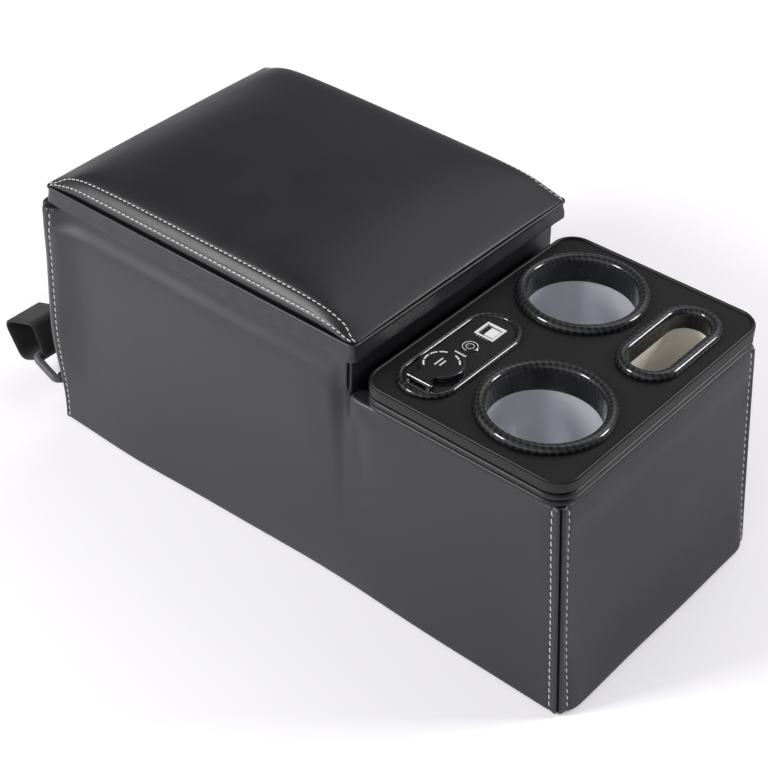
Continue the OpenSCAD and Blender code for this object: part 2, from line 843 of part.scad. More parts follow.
// White block of the charging port, set to one side so that a plug's shell goes round it
module usb_insert() {
    w = usb_shell_w - 2 * usb_shell_t - 0.1;
    off_x = (w - usb_block_x) / 2 - 0.4;
    off_y = (w - usb_block_y) / 2 - 0.4;
    color("white") translate([usb_x, charger_cy, pcb_top]) {
        translate([-w / 2, -w / 2, 0]) cube([w, w, 3]);
        translate([off_x - usb_block_x / 2, -off_y - usb_block_y / 2, 0])
            cube([usb_block_x, usb_block_y, plate_z1 - pcb_top - 0.8]);
    }
}

// Light pipe that stands on the circuit board and shows as a thin bar in the plate
module led_bar() {
    color("white") translate([led_x - led_w / 2, charger_cy - led_l / 2, pcb_top])
        cube([led_w, led_l, plate_z1 + 0.2 - pcb_top]);
}

module socket_barrel() {
    color("silver") translate([socket_x, charger_cy, 0]) difference() {
        union() {
            translate([0, 0, socket_z0 - socket_floor])
                cylinder(h = socket_h + socket_floor, r = socket_out);
            translate([0, 0, plate_z1]) cylinder(h = flange_t, r = flange_r);
        }
        translate([0, 0, socket_z0 + socket_foot_h]) cylinder(h = socket_h, r = socket_r);
        translate([0, 0, socket_z0 - socket_floor - cut]) cylinder(h = socket_h, r = socket_foot_r);
    }
}

// Insulating disc that closes the foot of the power socket and holds the centre contact
module socket_base() {
    color([0.15, 0.15, 0.15]) translate([socket_x, charger_cy, socket_z0 - socket_floor])
        linear_extrude(socket_floor) difference() {
            circle(socket_foot_r);
            circle(3.4);
        }
}

// Centre contact of the power socket, riveted into the insulating disc
module socket_contact() {
    color("gold") translate([socket_x, charger_cy, socket_z0 - socket_floor]) rotate_extrude() polygon([
        [0, -4], [3.3, -4], [3.3, socket_floor], [4.5, socket_floor],
        [4.5, socket_floor + 1], [2.2, socket_floor + 1], [2.2, socket_floor + 2.4],
        [1.6, socket_floor + 3], [0, socket_floor + 3]
    ]);
}

module cap_hinge_pin() {
    l = 2 * (lug_hw + slide_gap + ear_t);
    color("silver") translate([cap_pin_x, charger_cy, cap_pin_z]) rotate([90, 0, 0])
        cylinder(h = l, r = cap_pin_r, center = true);
}

// Flip cap: a disc with a rounded edge, and the lug that turns on the pin
module socket_cap() {
    edge = 0.9;
    color([0.08, 0.08, 0.09]) difference() {
        union() {
            translate([socket_x, charger_cy, cap_z]) rotate_extrude() {
                square([cap_r - edge, cap_t]);
                square([cap_r, cap_t - edge]);
                translate([cap_r - edge, cap_t - edge]) circle(edge);
            }
            translate([cap_pin_x, charger_cy - lug_hw, cap_z])
                cube([socket_x - cap_r / 2 - cap_pin_x, 2 * lug_hw, cap_t]);
            translate([cap_pin_x, charger_cy, cap_pin_z]) rotate([90, 0, 0])
                cylinder(h = 2 * lug_hw, r = lug_r, center = true);
        }
        translate([cap_pin_x, charger_cy, cap_pin_z]) rotate([90, 0, 0])
            cylinder(h = charger_w, r = cap_pin_r + pin_gap, center = true);
    }
}

// Button with a dished top, a flange under the plate and a stem over the switch
module power_button() {
    color([0.1, 0.1, 0.11]) translate([button_x, charger_cy, 0]) rotate_extrude() polygon([
        [0, stem_z], [stem_r, stem_z],
        [stem_r, plate_z0 - slide_gap - button_flange_t],
        [button_r + 1, plate_z0 - slide_gap - button_flange_t],
        [button_r + 1, plate_z0 - slide_gap], [button_r, plate_z0 - slide_gap],
        [button_r, button_top - 0.4], [button_r - 0.4, button_top],
        [button_r - 1.2, button_top], [0, button_top - 0.3]
    ]);
}

// One part of a hinge: its knuckles on the pin's axis and its leaf on the wall, with room
// for the other part's knuckles. up is 1 for the lid's leaf and -1 for the box's leaf.
module hinge_part(knuckles, rooms, up, h) {
    difference() {
        union() {
            for (s = knuckles) translate([s[0], hinge_y, hinge_z]) rotate([0, 90, 0])
                cylinder(h = s[1] - s[0], r = knuckle_r);
            translate([-hinge_l / 2, y_rear, hinge_z + min(0, up * h)]) cube([hinge_l, leaf_t, h]);
        }
        for (s = rooms) translate([s[0], y_rear - cut, hinge_z - leaf_clear])
            cube([s[1] - s[0], leaf_t + cut + knuckle_gap, 2 * leaf_clear]);
        translate([-hinge_l / 2 - cut, hinge_y, hinge_z]) rotate([0, 90, 0])
            cylinder(h = hinge_l + 2 * cut, r = hinge_bore_r);
    }
}

module body_leaf(x) {
    color("dimgray") difference() {
        translate([x, 0, 0]) hinge_part(
            [[-hinge_l / 2, -knuckle_x1], [knuckle_x1, hinge_l / 2]],
            [[-knuckle_x1, knuckle_x1]], -1, leaf_h);
        hinge_screw_places(body_screw_z) {
            screw_hole(leaf_screw_l);
            head_hole();
        }
    }
}

module lid_leaf(x) {
    color("dimgray") difference() {
        translate([x, 0, 0]) hinge_part(
            [[-knuckle_x0, knuckle_x0]],
            [[-hinge_l / 2 - cut, -knuckle_x0], [knuckle_x0, hinge_l / 2 + cut]], 1, lid_leaf_h);
        hinge_screw_places(lid_screw_z) {
            screw_hole(lid_screw_l);
            head_hole();
        }
    }
}

module body_leaf_left() {
    body_leaf(-hinge_x);
}

module body_leaf_right() {
    body_leaf(hinge_x);
}

module lid_leaf_left() {
    lid_leaf(-hinge_x);
}

module lid_leaf_right() {
    lid_leaf(hinge_x);
}

module hinge_pin(x) {
    color("silver") translate([x - hinge_l / 2, hinge_y, hinge_z]) rotate([0, 90, 0])
        cylinder(h = hinge_l, r = hinge_pin_r);
}

module hinge_pin_left() {
    hinge_pin(-hinge_x);
}

module hinge_pin_right() {
    hinge_pin(hinge_x);
}

module body_leaf_screws() {
    color("silver") hinge_screw_places(body_screw_z) screw(leaf_screw_l);
}

module lid_leaf_screws() {
    color("silver") hinge_screw_places(lid_screw_z) screw(lid_screw_l);
}

// Lid
module lid_board() {
    color("burlywood") difference() {
        translate([0, lid_yc, lid_z + lid_wrap_t]) linear_extrude(lid_edge_h - lid_wrap_t)
            round_rect(lid_w - 2 * lid_wrap_t, lid_l - 2 * lid_wrap_t, lid_r - lid_wrap_t);
        hinge_screw_places(lid_screw_z) screw_hole(lid_screw_l);
    }
}

// Leather drawn round the edge of the lid board and turned in below it
module lid_wrap() {
    color([0.15, 0.15, 0.16]) difference() {
        translate([0, lid_yc, lid_z]) around(lid_w, lid_l, lid_r) {
            translate([-lid_wrap_t, 0]) square([lid_wrap_t, lid_edge_h]);
            translate([-lid_turn_in, 0]) square([lid_turn_in, lid_wrap_t]);
        }
        hinge_screw_places(lid_screw_z) screw_hole(lid_screw_l);
    }
}

module lid_lining() {
    in = lid_turn_in + soft_gap;
    color([0.2, 0.2, 0.21]) translate([0, lid_yc, lid_z]) linear_extrude(lid_wrap_t)
        square([lid_w - 2 * in, lid_l - 2 * in], center = true);
}

// Crowned cushion, drawn over the round-cornered slices of one smooth crown
module lid_cushion() {
    layer = 0.02;
    // Each slice as [part of the height, how far it lies in from the edge]
    slices = [[0, 2.6], [0.1, 1], [0.24, 0.4], [0.38, 1.2], [0.52, 3.8], [0.63, 8.5],
              [0.76, 19], [0.88, 38], [0.965, 62], [1, 88]];
    color([0.15, 0.15, 0.16]) translate([0, lid_yc, cushion_z]) hull()
        for (s = slices) translate([0, 0, s[0] * (cushion_h - layer)]) linear_extrude(layer)
            round_rect(lid_w - 2 * s[1], lid_l - 2 * s[1], lid_r + 2 + s[1] / 8, $fn = 32);
}

// Strap: a short tab on the rear wall, a ring of round bar and a loop of webbing
module strap_tab() {
    flap_h = near_bar[1] + web_t - flap_z0;
    color([0.08, 0.08, 0.09]) difference() {
        along_x(-strap_x - web_w / 2, -strap_x + web_w / 2) {
            difference() {
                union() {
                    translate(near_bar) circle(wrap_r);
                    translate([flap_y, near_bar[1] - web_t])
                        square([near_bar[0] - flap_y, 2 * web_t]);
                }
                translate(near_bar) circle(bar_r + web_gap);
            }
            translate([flap_y, flap_z0]) square([2 * web_t, flap_h]);
        }
        anchor_screw_places() screw_hole(anchor_screw_l);
    }
}

module strap_ring() {
    lx = ring_in + 4 * bar_r;
    ly = 2 * (bar_reach + bar_r);
    color([0.35, 0.35, 0.37]) translate([-strap_x, ring_y, ring_z]) rotate([ring_tilt, 0, 0])
        around(lx, ly, 2.4 * bar_r) translate([-bar_r, 0]) circle(bar_r);
}

// Closed loop of webbing round the ring's far bar
module strap_loop() {
    color([0.08, 0.08, 0.09]) along_x(-strap_x - web_w / 2, -strap_x + web_w / 2)
        translate(far_bar) difference() {
            hull() {
                circle(wrap_r, $fn = 32);
                for (p = loop_pts) translate([p[0], p[1]]) circle(p[2], $fn = 32);
            }
            hull() {
                circle(wrap_r - web_t, $fn = 32);
                for (p = loop_pts) translate([p[0], p[1]]) circle(p[2] - web_t, $fn = 32);
            }
        }
}

module anchor_plate() {
    color("silver") difference() {
        translate([-strap_x - web_w / 2, flap_y + 2 * web_t, flap_z0])
            cube([web_w, anchor_t, anchor_h]);
        anchor_screw_places() {
            screw_hole(anchor_screw_l);
            head_hole();
        }
    }
}

module anchor_screws() {
    color("silver") anchor_screw_places() screw(anchor_screw_l);
}

base_board();
left_board();
right_board();
front_board();
rear_board();
step_board();
left_cover();
right_cover();
front_cover();
rear_cover();
step_cover();
base_mat();
storage_liner();
tray_frame();
frame_screws();
cup_panel();
cup_ring_left();
cup_ring_right();
cup_liner_left();
cup_liner_right();
slot_trim();
slot_liner();
charger_trim();
charger_plate();
charger_housing();
charger_board();
button_switch();
usb_frame();
usb_shell();
usb_insert();
led_bar();
socket_barrel();
socket_base();
socket_contact();
cap_hinge_pin();
body_leaf_left();
body_leaf_right();
hinge_pin_left();
hinge_pin_right();
body_leaf_screws();
strap_tab();
strap_ring();
strap_loop();
anchor_plate();
anchor_screws();
lid_board();
lid_wrap();
lid_lining();
lid_cushion();
lid_leaf_left();
lid_leaf_right();
lid_leaf_screws();
socket_cap();
power_button();
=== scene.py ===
# Looks of a car centre armrest: a two-level box under padded black leather, with a hinged
# cushion lid, a moulded cup panel with glossy trims, a charger and a tie-down strap.
# Sizes in the arrays are millimetres in the part's frame, and the meshes are metres.
import math

import bmesh
import bpy
import numpy as np
from mathutils import Matrix, Vector


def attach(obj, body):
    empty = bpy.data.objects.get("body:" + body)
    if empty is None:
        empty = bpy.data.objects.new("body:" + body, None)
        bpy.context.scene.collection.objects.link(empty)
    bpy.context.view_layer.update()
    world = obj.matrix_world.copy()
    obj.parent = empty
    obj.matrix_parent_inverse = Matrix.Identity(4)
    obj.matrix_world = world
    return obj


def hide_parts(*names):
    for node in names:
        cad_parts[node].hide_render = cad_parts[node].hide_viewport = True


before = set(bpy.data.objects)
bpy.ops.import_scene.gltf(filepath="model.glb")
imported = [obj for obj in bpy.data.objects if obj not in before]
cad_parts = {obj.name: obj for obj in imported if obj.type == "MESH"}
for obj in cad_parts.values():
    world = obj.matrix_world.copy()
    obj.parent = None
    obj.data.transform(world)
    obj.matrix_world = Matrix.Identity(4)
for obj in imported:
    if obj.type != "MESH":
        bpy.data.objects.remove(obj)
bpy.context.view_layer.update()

# Plywood boards
# Raw birch plywood, sawn to size, glued and stapled into the box, with one more board in
# the lid. Only their edges could ever show, under the leather.


def add_node(tree, kind, sockets=None, **settings):
    """Adds a shader node, with its own settings and the values of its unlinked sockets."""
    made = tree.nodes.new(kind)
    for key, value in settings.items():
        setattr(made, key, value)
    for key, value in (sockets or {}).items():
        made.inputs[key].default_value = value
    return made


def new_finish(name, colour, roughness, **sockets):
    """A material with one Principled shader. Returns the material, its tree and the shader."""
    finish = bpy.data.materials.new(name)
    finish.use_nodes = True
    tree = finish.node_tree
    shader = tree.nodes["Principled BSDF"]
    shader.inputs["Base Color"].default_value = (*colour, 1)
    shader.inputs["Roughness"].default_value = roughness
    for key, value in sockets.items():
        shader.inputs[key.replace("_", " ")].default_value = value
    return finish, tree, shader


def object_place(tree):
    """The object's own coordinates."""
    return add_node(tree, "ShaderNodeTexCoord").outputs["Object"]


def noise_on(tree, scale, detail=4.0, squeeze=(1, 1, 1)):
    """Noise on the object's own coordinates, squeezed along each axis by the factors of squeeze."""
    turn = add_node(tree, "ShaderNodeMapping", {"Scale": squeeze})
    noise = add_node(tree, "ShaderNodeTexNoise", {"Scale": scale, "Detail": detail})
    tree.links.new(object_place(tree), turn.inputs["Vector"])
    tree.links.new(turn.outputs["Vector"], noise.inputs["Vector"])
    return noise.outputs["Fac"]


def between(tree, factor, low, high, target):
    """Feeds a socket with a value or colour that runs from low to high as factor goes 0.3 to 0.7."""
    if isinstance(low, tuple):
        ramp = add_node(tree, "ShaderNodeValToRGB")
        ramp.color_ramp.elements[0].position = 0.3
        ramp.color_ramp.elements[1].position = 0.7
        ramp.color_ramp.elements[0].color = (*low, 1)
        ramp.color_ramp.elements[1].color = (*high, 1)
        tree.links.new(factor, ramp.inputs["Fac"])
        tree.links.new(ramp.outputs["Color"], target)
        return
    spread = add_node(tree, "ShaderNodeMapRange",
                      {"From Min": 0.3, "From Max": 0.7, "To Min": low, "To Max": high})
    tree.links.new(factor, spread.inputs["Value"])
    tree.links.new(spread.outputs["Result"], target)


def raise_grain(tree, shader, height, depth):
    """Turns a height from 0 to 1 into relief of the given depth in metres."""
    bump = add_node(tree, "ShaderNodeBump", {"Strength": 1.0, "Distance": depth})
    tree.links.new(height, bump.inputs["Height"])
    tree.links.new(bump.outputs["Normal"], shader.inputs["Normal"])


def dress(finish, *nodes):
    """Gives CAD nodes a finish on their own material slots."""
    for name in nodes:
        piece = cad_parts[name]
        if not piece.material_slots:
            piece.data.materials.append(finish)
        for place in piece.material_slots:
            place.material = finish


plywood, tree, shader = new_finish("birch_plywood", (0.55, 0.38, 0.21), 0.6)
plies = add_node(tree, "ShaderNodeTexWave", {"Scale": 110.0, "Distortion": 1.5, "Detail Scale": 6.0},
                 bands_direction="X")
tree.links.new(object_place(tree), plies.inputs["Vector"])
between(tree, plies.outputs["Fac"], (0.50, 0.33, 0.17), (0.62, 0.46, 0.28), shader.inputs["Base Color"])
raise_grain(tree, shader, noise_on(tree, 60.0, 6.0, (1, 6, 6)), 0.0002)
dress(plywood, "base_board", "left_board", "right_board", "front_board", "rear_board", "step_board",
      "lid_board")

# Leather covers of the box
# Black synthetic leather on thin foam, cut as four walls and a step, sewn together at the
# upright corners, drawn over the boards, and turned in at the rims and under the foot.
MM = 0.001
corner_r = 4.0
corner_arc = corner_r * math.pi / 4
side_run, cross_run = 408.0, 198.0
side_end, cross_end = side_run + 2 * corner_arc, cross_run + 2 * corner_arc
low_rim, tall_rim, rim_roll = 158.0, 184.0, 3.0
foot_half, side_lean = 105.0, 2.5
wall_y, front_lean = 208.0, 13.0
rear_flare, flare_top = 6.5, 144.0
step_y, inner_x, foot_z = -51.0, 91.0, 0.9
box_middle = (0, 60, 70)
leather_wall = 1.2
seam_row, rear_row = 6.0, 4.6
step_column = corner_arc + step_y + side_run / 2


def side_half(z):
    """Half of the width at a height: the sides lean in from the foot to the lid."""
    return foot_half - side_lean * z / tall_rim


def front_line(z):
    """The front face leans back from the foot to the low rim."""
    return -wall_y - front_lean * (1 - np.minimum(z, low_rim) / low_rim)


def rear_line(z):
    """The rear face stands out at the foot and is upright above the flare."""
    return wall_y + rear_flare * np.clip(1 - z / flare_top, 0, None)


def smooth_step(t):
    """Rises from 0 to 1 with level ends, as t runs from 0 to 1."""
    t = np.clip(t, 0, 1)
    return t * t * (3 - 2 * t)


def hump(t, width):
    """A bell of height 1 at t = 0."""
    return np.exp(-(t / width) ** 2)


def wall_line(c, run, start, end, out, push):
    """Plan of one wall from corner seam to corner seam. c is the way along it, run its nominal
    straight length, and both ends turn 45 degrees on the corner radius. Returns how far along
    and how far out each point lies."""
    turn = np.where(c < corner_arc, c - corner_arc, np.clip(c - corner_arc - run, 0, None)) / corner_r
    part = np.clip((c - corner_arc) / run, 0, 1)
    along = start + part * (end - start) + (corner_r + push) * np.sin(turn)
    outward = out - corner_r + (corner_r + push) * np.cos(turn)
    return along, outward


def seam_swell(d, row):
    """Leather beside a corner seam: a tight groove, a ridge of turned-in edges, and a line
    drawn down by the stitches at the distance row."""
    return -2.0 * hump(d, 0.7) + 0.45 * hump(d - 2.6, 1.3) - 0.4 * hump(d - row, 0.8)


def rear_swell(d, z):
    """Leather beside a rear corner seam, where the padding swells out towards the lid."""
    return seam_swell(d, rear_row) + 8.0 * hump(d, 16) * smooth_step((z - 8) / 85)


def free_part(c, end):
    """0 at both corner seams, so that the sheets meet there, and 1 away from them."""
    return smooth_step(c / 14) * smooth_step((end - c) / 14)


def step_share(z):
    """0 up to where the leather rolls over the low rim, and 1 from 9 mm above that, where the
    corner of the step is fully formed."""
    return smooth_step((z - low_rim + rim_roll) / 9)


def left_push(c, z):
    """How far the padding of a side stands out or is drawn in: a swell below the lid and one
    below the low rim, a draw along the foot with a swell at its rear, a fold and a pucker at
    the step, slow waves, and the ridges and grooves of the seams."""
    y = c - corner_arc - side_run / 2
    tall = smooth_step((y + 46) / 8)
    low = 1 - smooth_step((y + 70) / 12)
    tucked = (2.6 + 1.5 * smooth_step((y + 40) / 150)) * smooth_step((z - 166) / 12)
    below_lid = tall * (4.0 * hump(z - 160, np.where(z > 160, 20, 57)) - tucked)
    below_rim = 1.6 * low * hump(z - 140, np.where(z > 140, 12, 45))
    at_foot = 1.6 * hump(y - 135, 45) * hump(z, 45) - 4.0 * hump(y + 20, 85) * np.exp(-z / 30)
    fold = -2.8 * hump(y + 46.5, 4.5) * hump(z - 157, 18) - 1.0 * hump(y + 38, 12) * hump(z - 120, 40)
    pucker = 1.6 * hump(y + 59, 7) * hump(z - 149, 6)
    slow_waves = 0.35 * np.sin(0.021 * y + 0.6) * np.sin(0.045 * z) + 0.2 * np.sin(0.05 * y + 0.03 * z)
    at_step = step_share(z) * (c >= step_column)
    push = (below_lid + below_rim + at_foot + fold + pucker + slow_waves) * free_part(c, side_end)
    push = push * (1 - at_step * hump(c - step_column, 9))
    push = push + seam_swell(c, seam_row) + rear_swell(side_end - c, z)
    return push - 2.0 * at_step * hump(c - step_column, 0.8)


def left_wall(c, z, push=None):
    """Left side of the box. Above the low rim its front edge turns round the corner of the
    step, so the flat sheet is blended into that corner over 9 mm of height."""
    c, z = np.broadcast_arrays(np.asarray(c, float), np.asarray(z, float))
    push = left_push(c, z) if push is None else push
    y, out = wall_line(c, side_run, front_line(z) + corner_r, rear_line(z) - corner_r, side_half(z), push)
    near = np.clip(1 - (c - step_column) / corner_r, 0, 1)
    turn = -near * math.pi / 4
    share = step_share(z) * (c >= step_column) * (near > 0)
    y = y + share * (step_y + corner_r + (corner_r + push) * np.sin(turn) - y)
    out = out + share * (side_half(z) - corner_r + (corner_r + push) * np.cos(turn) - out)
    return np.stack([-out, y, z], -1)


def front_push(c, z):
    """How far the padding of the front stands out: mostly above the foot and below the rim."""
    x = c - corner_arc - cross_run / 2
    push = 4.6 * hump(z, 34) + 1.0 * hump(z - 146, 9) + 0.8 * hump(x, 60) * hump(z - 90, 50)
    push = (push + 0.2 * np.sin(0.06 * x + 0.04 * z)) * free_part(c, cross_end)
    return push + seam_swell(c, seam_row) + seam_swell(cross_end - c, seam_row)


def front_wall(c, z, push=None):
    """Front of the box, from the left corner seam to the right one."""
    c, z = np.broadcast_arrays(np.asarray(c, float), np.asarray(z, float))
    half = side_half(z) - corner_r
    push = front_push(c, z) if push is None else push
    x, out = wall_line(c, cross_run, -half, half, -front_line(z), push)
    return np.stack([x, -out, z], -1)


def rear_push(c, z):
    """How far the padding of the rear stands out: a little in its middle."""
    x = c - corner_arc - cross_run / 2
    push = (0.9 * hump(z - 85, 45) * hump(x, 70) - 0.6 * hump(z, 25)) * free_part(c, cross_end)
    return push + rear_swell(c, z) + rear_swell(cross_end - c, z)


def rear_wall(c, z, push=None):
    """Rear of the box, from the left corner seam to the right one."""
    c, z = np.broadcast_arrays(np.asarray(c, float), np.asarray(z, float))
    half = side_half(z) - corner_r
    push = rear_push(c, z) if push is None else push
    x, out = wall_line(c, cross_run, -half, half, rear_line(z), push)
    return np.stack([x, out, z], -1)


def step_wall(c, z, push=None):
    """Step between the two levels. Its edges follow the front edges of the side covers."""
    c, z = np.broadcast_arrays(np.asarray(c, float), np.asarray(z, float))
    half = side_half(z) - corner_r
    at_step = step_share(z)
    edge_push = left_push(np.full(z.shape, step_column), z)
    if push is None:
        push = edge_push * (hump(c, 1.2) + hump(cross_end - c, 1.2))
    x, out = wall_line(c, cross_run, -half, half, -step_y, push)
    flat_x = (side_half(z) + edge_push - 2.0 * (z < low_rim - rim_roll)) * (2 * c / cross_end - 1)
    x = flat_x + at_step * (x - flat_x)
    out = -step_y + at_step * (out - -step_y)
    return np.stack([x, -out, z], -1)


def quads(rows, cols, first=0, joined=False):
    """Faces of a grid of points that run row by row. joined ties the last column to the first."""
    row = np.arange(rows - 1)[:, None]
    col = np.arange(cols if joined else cols - 1)[None, :]
    a = first + row * cols + col
    b = first + row * cols + (col + 1) % cols
    return np.stack([a, b, b + cols, a + cols], -1).reshape(-1, 4)


def turned_rows(wall, c, z, angles, centre_z, up):
    """Rows that roll over an edge: the wall's own points at height z, carried round a quarter
    circle of the rim's radius. up is 1 at a rim and -1 at the foot."""
    edge = wall(c, z)
    drawn_in = wall(c, z, 0.0) - wall(c, z, 1.0)
    rows = []
    for angle in angles:
        a = math.radians(angle)
        row = edge + drawn_in * rim_roll * (1 - math.cos(a))
        row[:, 2] = centre_z + up * rim_roll * math.sin(a)
        rows.append(row)
    return rows


def turned_in(row, lowest, highest, parts):
    """Rows that run from an edge straight in to the border of an inner rectangle."""
    inner = np.clip(row, (*lowest, -np.inf), (*highest, np.inf))
    return [row + part * (inner - row) for part in parts]


def cover_mesh(name, sheets, finish):
    """Joins sheets of rows into one cover, closes their shared edges, turns the faces out and
    gives the leather its thickness."""
    points, faces, first = [], [], 0
    for rows in sheets:
        grid = np.stack(rows)
        points.append(grid.reshape(-1, 3))
        faces.append(quads(grid.shape[0], grid.shape[1], first))
        first += grid.shape[0] * grid.shape[1]
    piece = make_piece(name, np.concatenate(points), np.concatenate(faces), finish, "console",
                       middle=box_middle)
    smoothed(piece)
    thicken(piece, leather_wall)
    return piece


def make_piece(name, points, faces, finish, body, middle=None, corners=None):
    """Mesh piece from points in millimetres. Doubles are merged, and the faces are turned out
    of the closed shape, or for an open sheet away from the point middle. corners are the
    pattern coordinates of the faces' corners."""
    mesh = bpy.data.meshes.new(name)
    mesh.from_pydata((np.asarray(points) * MM).tolist(), [], [list(map(int, face)) for face in faces])
    if corners is not None:
        layer = mesh.uv_layers.new(name="pattern")
        layer.data.foreach_set("uv", (corners * MM).astype(np.float32).ravel())
    work = bmesh.new()
    work.from_mesh(mesh)
    bmesh.ops.remove_doubles(work, verts=work.verts, dist=0.01 * MM)
    bmesh.ops.dissolve_degenerate(work, edges=work.edges, dist=0.005 * MM)
    if middle is None:
        bmesh.ops.recalc_face_normals(work, faces=work.faces)
        outward = work.calc_volume(signed=True)
    else:
        work.normal_update()
        inside = Vector(middle) * MM
        outward = sum(face.calc_area() * face.normal.dot(face.calc_center_median() - inside)
                      for face in work.faces)
    if outward < 0:
        bmesh.ops.reverse_faces(work, faces=work.faces)
    work.to_mesh(mesh)
    work.free()
    mesh.polygons.foreach_set("use_smooth", [True] * len(mesh.polygons))
    mesh.materials.append(finish)
    piece = bpy.data.objects.new(name, mesh)
    bpy.context.scene.collection.objects.link(piece)
    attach(piece, body)
    return piece


def smoothed(piece):
    """Smooths a piece by one round of subdivision."""
    finer = piece.modifiers.new("smooth", "SUBSURF")
    finer.levels = finer.render_levels = 1


def thicken(piece, wall):
    """Gives a sheet a wall towards its inside, in millimetres."""
    shell = piece.modifiers.new("wall", "SOLIDIFY")
    shell.thickness = wall * MM
    shell.offset = -1


def pattern_group(name, inputs, outputs):
    """Empty shader node group with named value inputs and outputs."""
    group = bpy.data.node_groups.new(name, "ShaderNodeTree")
    for label, value in inputs.items():
        made = group.interface.new_socket(label, in_out="INPUT", socket_type="NodeSocketFloat")
        made.default_value = value
    for label in outputs:
        group.interface.new_socket(label, in_out="OUTPUT", socket_type="NodeSocketFloat")
    return group, group.nodes.new("NodeGroupInput"), group.nodes.new("NodeGroupOutput")


# Grain that leather and moulded plastic share: pebbles of one size with soft valleys
# between them, on a slow unevenness
grain, grain_in, grain_out = pattern_group("pressed_grain", {"Pebbles": 1100.0}, ["Height", "Patches"])
grain_place = object_place(grain)
pebbles = add_node(grain, "ShaderNodeTexVoronoi", feature="F1")
crests = add_node(grain, "ShaderNodeMath", {0: 1.0}, operation="SUBTRACT")
waves = add_node(grain, "ShaderNodeTexNoise", {"Scale": 28.0, "Detail": 3.0})
grain.links.new(grain_place, pebbles.inputs["Vector"])
grain.links.new(grain_place, waves.inputs["Vector"])
grain.links.new(grain_in.outputs["Pebbles"], pebbles.inputs["Scale"])
grain.links.new(pebbles.outputs["Distance"], crests.inputs[1])
grain.links.new(crests.outputs["Value"], grain_out.inputs["Height"])
grain.links.new(waves.outputs["Fac"], grain_out.inputs["Patches"])


def grained(name, colour, lighter, rough, rougher, pebble_size, depth, **sockets):
    """A finish with pressed grain: pebble_size and depth are metres, colour runs to lighter
    and roughness from rough to rougher over slow patches."""
    finish, tree, shader = new_finish(name, colour, rough, **sockets)
    marks = add_node(tree, "ShaderNodeGroup", node_tree=grain)
    marks.inputs["Pebbles"].default_value = 1 / pebble_size
    between(tree, marks.outputs["Patches"], colour, lighter, shader.inputs["Base Color"])
    between(tree, marks.outputs["Patches"], rough, rougher, shader.inputs["Roughness"])
    raise_grain(tree, shader, marks.outputs["Height"], depth)
    return finish


leather = grained("black_leather", (0.0105, 0.0103, 0.0125), (0.0135, 0.0132, 0.0155), 0.40, 0.46,
                  0.0009, 0.00005)

# Columns crowd together at the corner seams and at the step, where the leather turns sharply
seam_columns = np.array([0, 0.4, 0.8, 1.2, 1.7, 2.3, 3.0, 3.8, 4.6, 5.3, 6.0, 6.7, 7.6, 9.0, 11.5, 15.0])
step_columns = step_column + np.array([-30, -24, -19, -15, -12, -9.5, -7, -5, -3.4, -2, -1, 0, 0.5, 1, 1.6,
                                       2.4, 3.4, 4.6, 6, 8, 10, 12.5, 16, 20, 26])
side_columns = np.unique(np.round(np.concatenate([
    seam_columns, np.arange(20, step_column - 33, 5.0), step_columns,
    np.arange(step_column + 31, side_end - 18, 5.0), side_end - seam_columns]), 4))
step_index = int(np.argmin(np.abs(side_columns - step_column)))
side_columns[step_index] = step_column
cross_columns = np.unique(np.round(np.concatenate([
    seam_columns, np.arange(20, cross_end - 18, 6.0), cross_end - seam_columns]), 4))
wall_heights = np.concatenate([[foot_z + rim_roll, 6, 9, 13], np.arange(18, 140, 5.5),
                               [141, 145, 149, 152, 155]])
roll_angles = (22, 45, 68, 90)


def foot_rows(wall, c, lowest, highest):
    """The leather turned under the box: the inner edge of the hem first, then the foot's roll."""
    rolled = turned_rows(wall, c, foot_z + rim_roll, roll_angles, foot_z + rim_roll, -1)
    return turned_in(rolled[-1], lowest, highest, (1.0, 0.4)) + rolled[::-1]


def rim_rows(wall, c, rim, lowest, highest):
    """The leather rolled over a rim and turned in above the boards."""
    rolled = turned_rows(wall, c, rim - rim_roll, roll_angles, rim - rim_roll, 1)
    return rolled + turned_in(rolled[-1], lowest, highest, (0.4, 1.0))


hem_x, hem_front, hem_rear = 83.0, -201.5, 195.0
rim_front, rim_rear, rim_step = -196.5, 196.5, -39.5
left_sheets = [
    foot_rows(left_wall, side_columns, (-hem_x, hem_front), (-hem_x, hem_rear))
    + [left_wall(side_columns, z) for z in wall_heights],
    [left_wall(side_columns[:step_index + 1], 155.0)]
    + rim_rows(left_wall, side_columns[:step_index + 1], low_rim, (-inner_x, rim_front), (-inner_x, step_y)),
    [left_wall(side_columns[step_index:], z) for z in (155, 157, 159, 161.5, 164, 167, 170, 174, 178, 181)]
    + rim_rows(left_wall, side_columns[step_index:], tall_rim, (-inner_x, rim_step), (-inner_x, rim_rear)),
]
left_leather = cover_mesh("leather_left_side", left_sheets, leather)
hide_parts("left_cover")
mirror_x = np.array([-1, 1, 1])
right_sheets = [[row * mirror_x for row in sheet] for sheet in left_sheets]
right_leather = cover_mesh("leather_right_side", right_sheets, leather)
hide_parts("right_cover")
front_leather = cover_mesh("leather_front", [
    foot_rows(front_wall, cross_columns, (-hem_x, hem_front), (hem_x, hem_front))
    + [front_wall(cross_columns, z) for z in wall_heights]
    + rim_rows(front_wall, cross_columns, low_rim, (-inner_x, rim_front), (inner_x, rim_front))], leather)
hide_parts("front_cover")
rear_leather = cover_mesh("leather_rear", [
    foot_rows(rear_wall, cross_columns, (-hem_x, hem_rear), (hem_x, hem_rear))
    + [rear_wall(cross_columns, z) for z in np.append(wall_heights, [159, 163.5, 168, 172.5, 177, 181])]
    + rim_rows(rear_wall, cross_columns, tall_rim, (-inner_x, rim_rear), (inner_x, rim_rear))], leather)
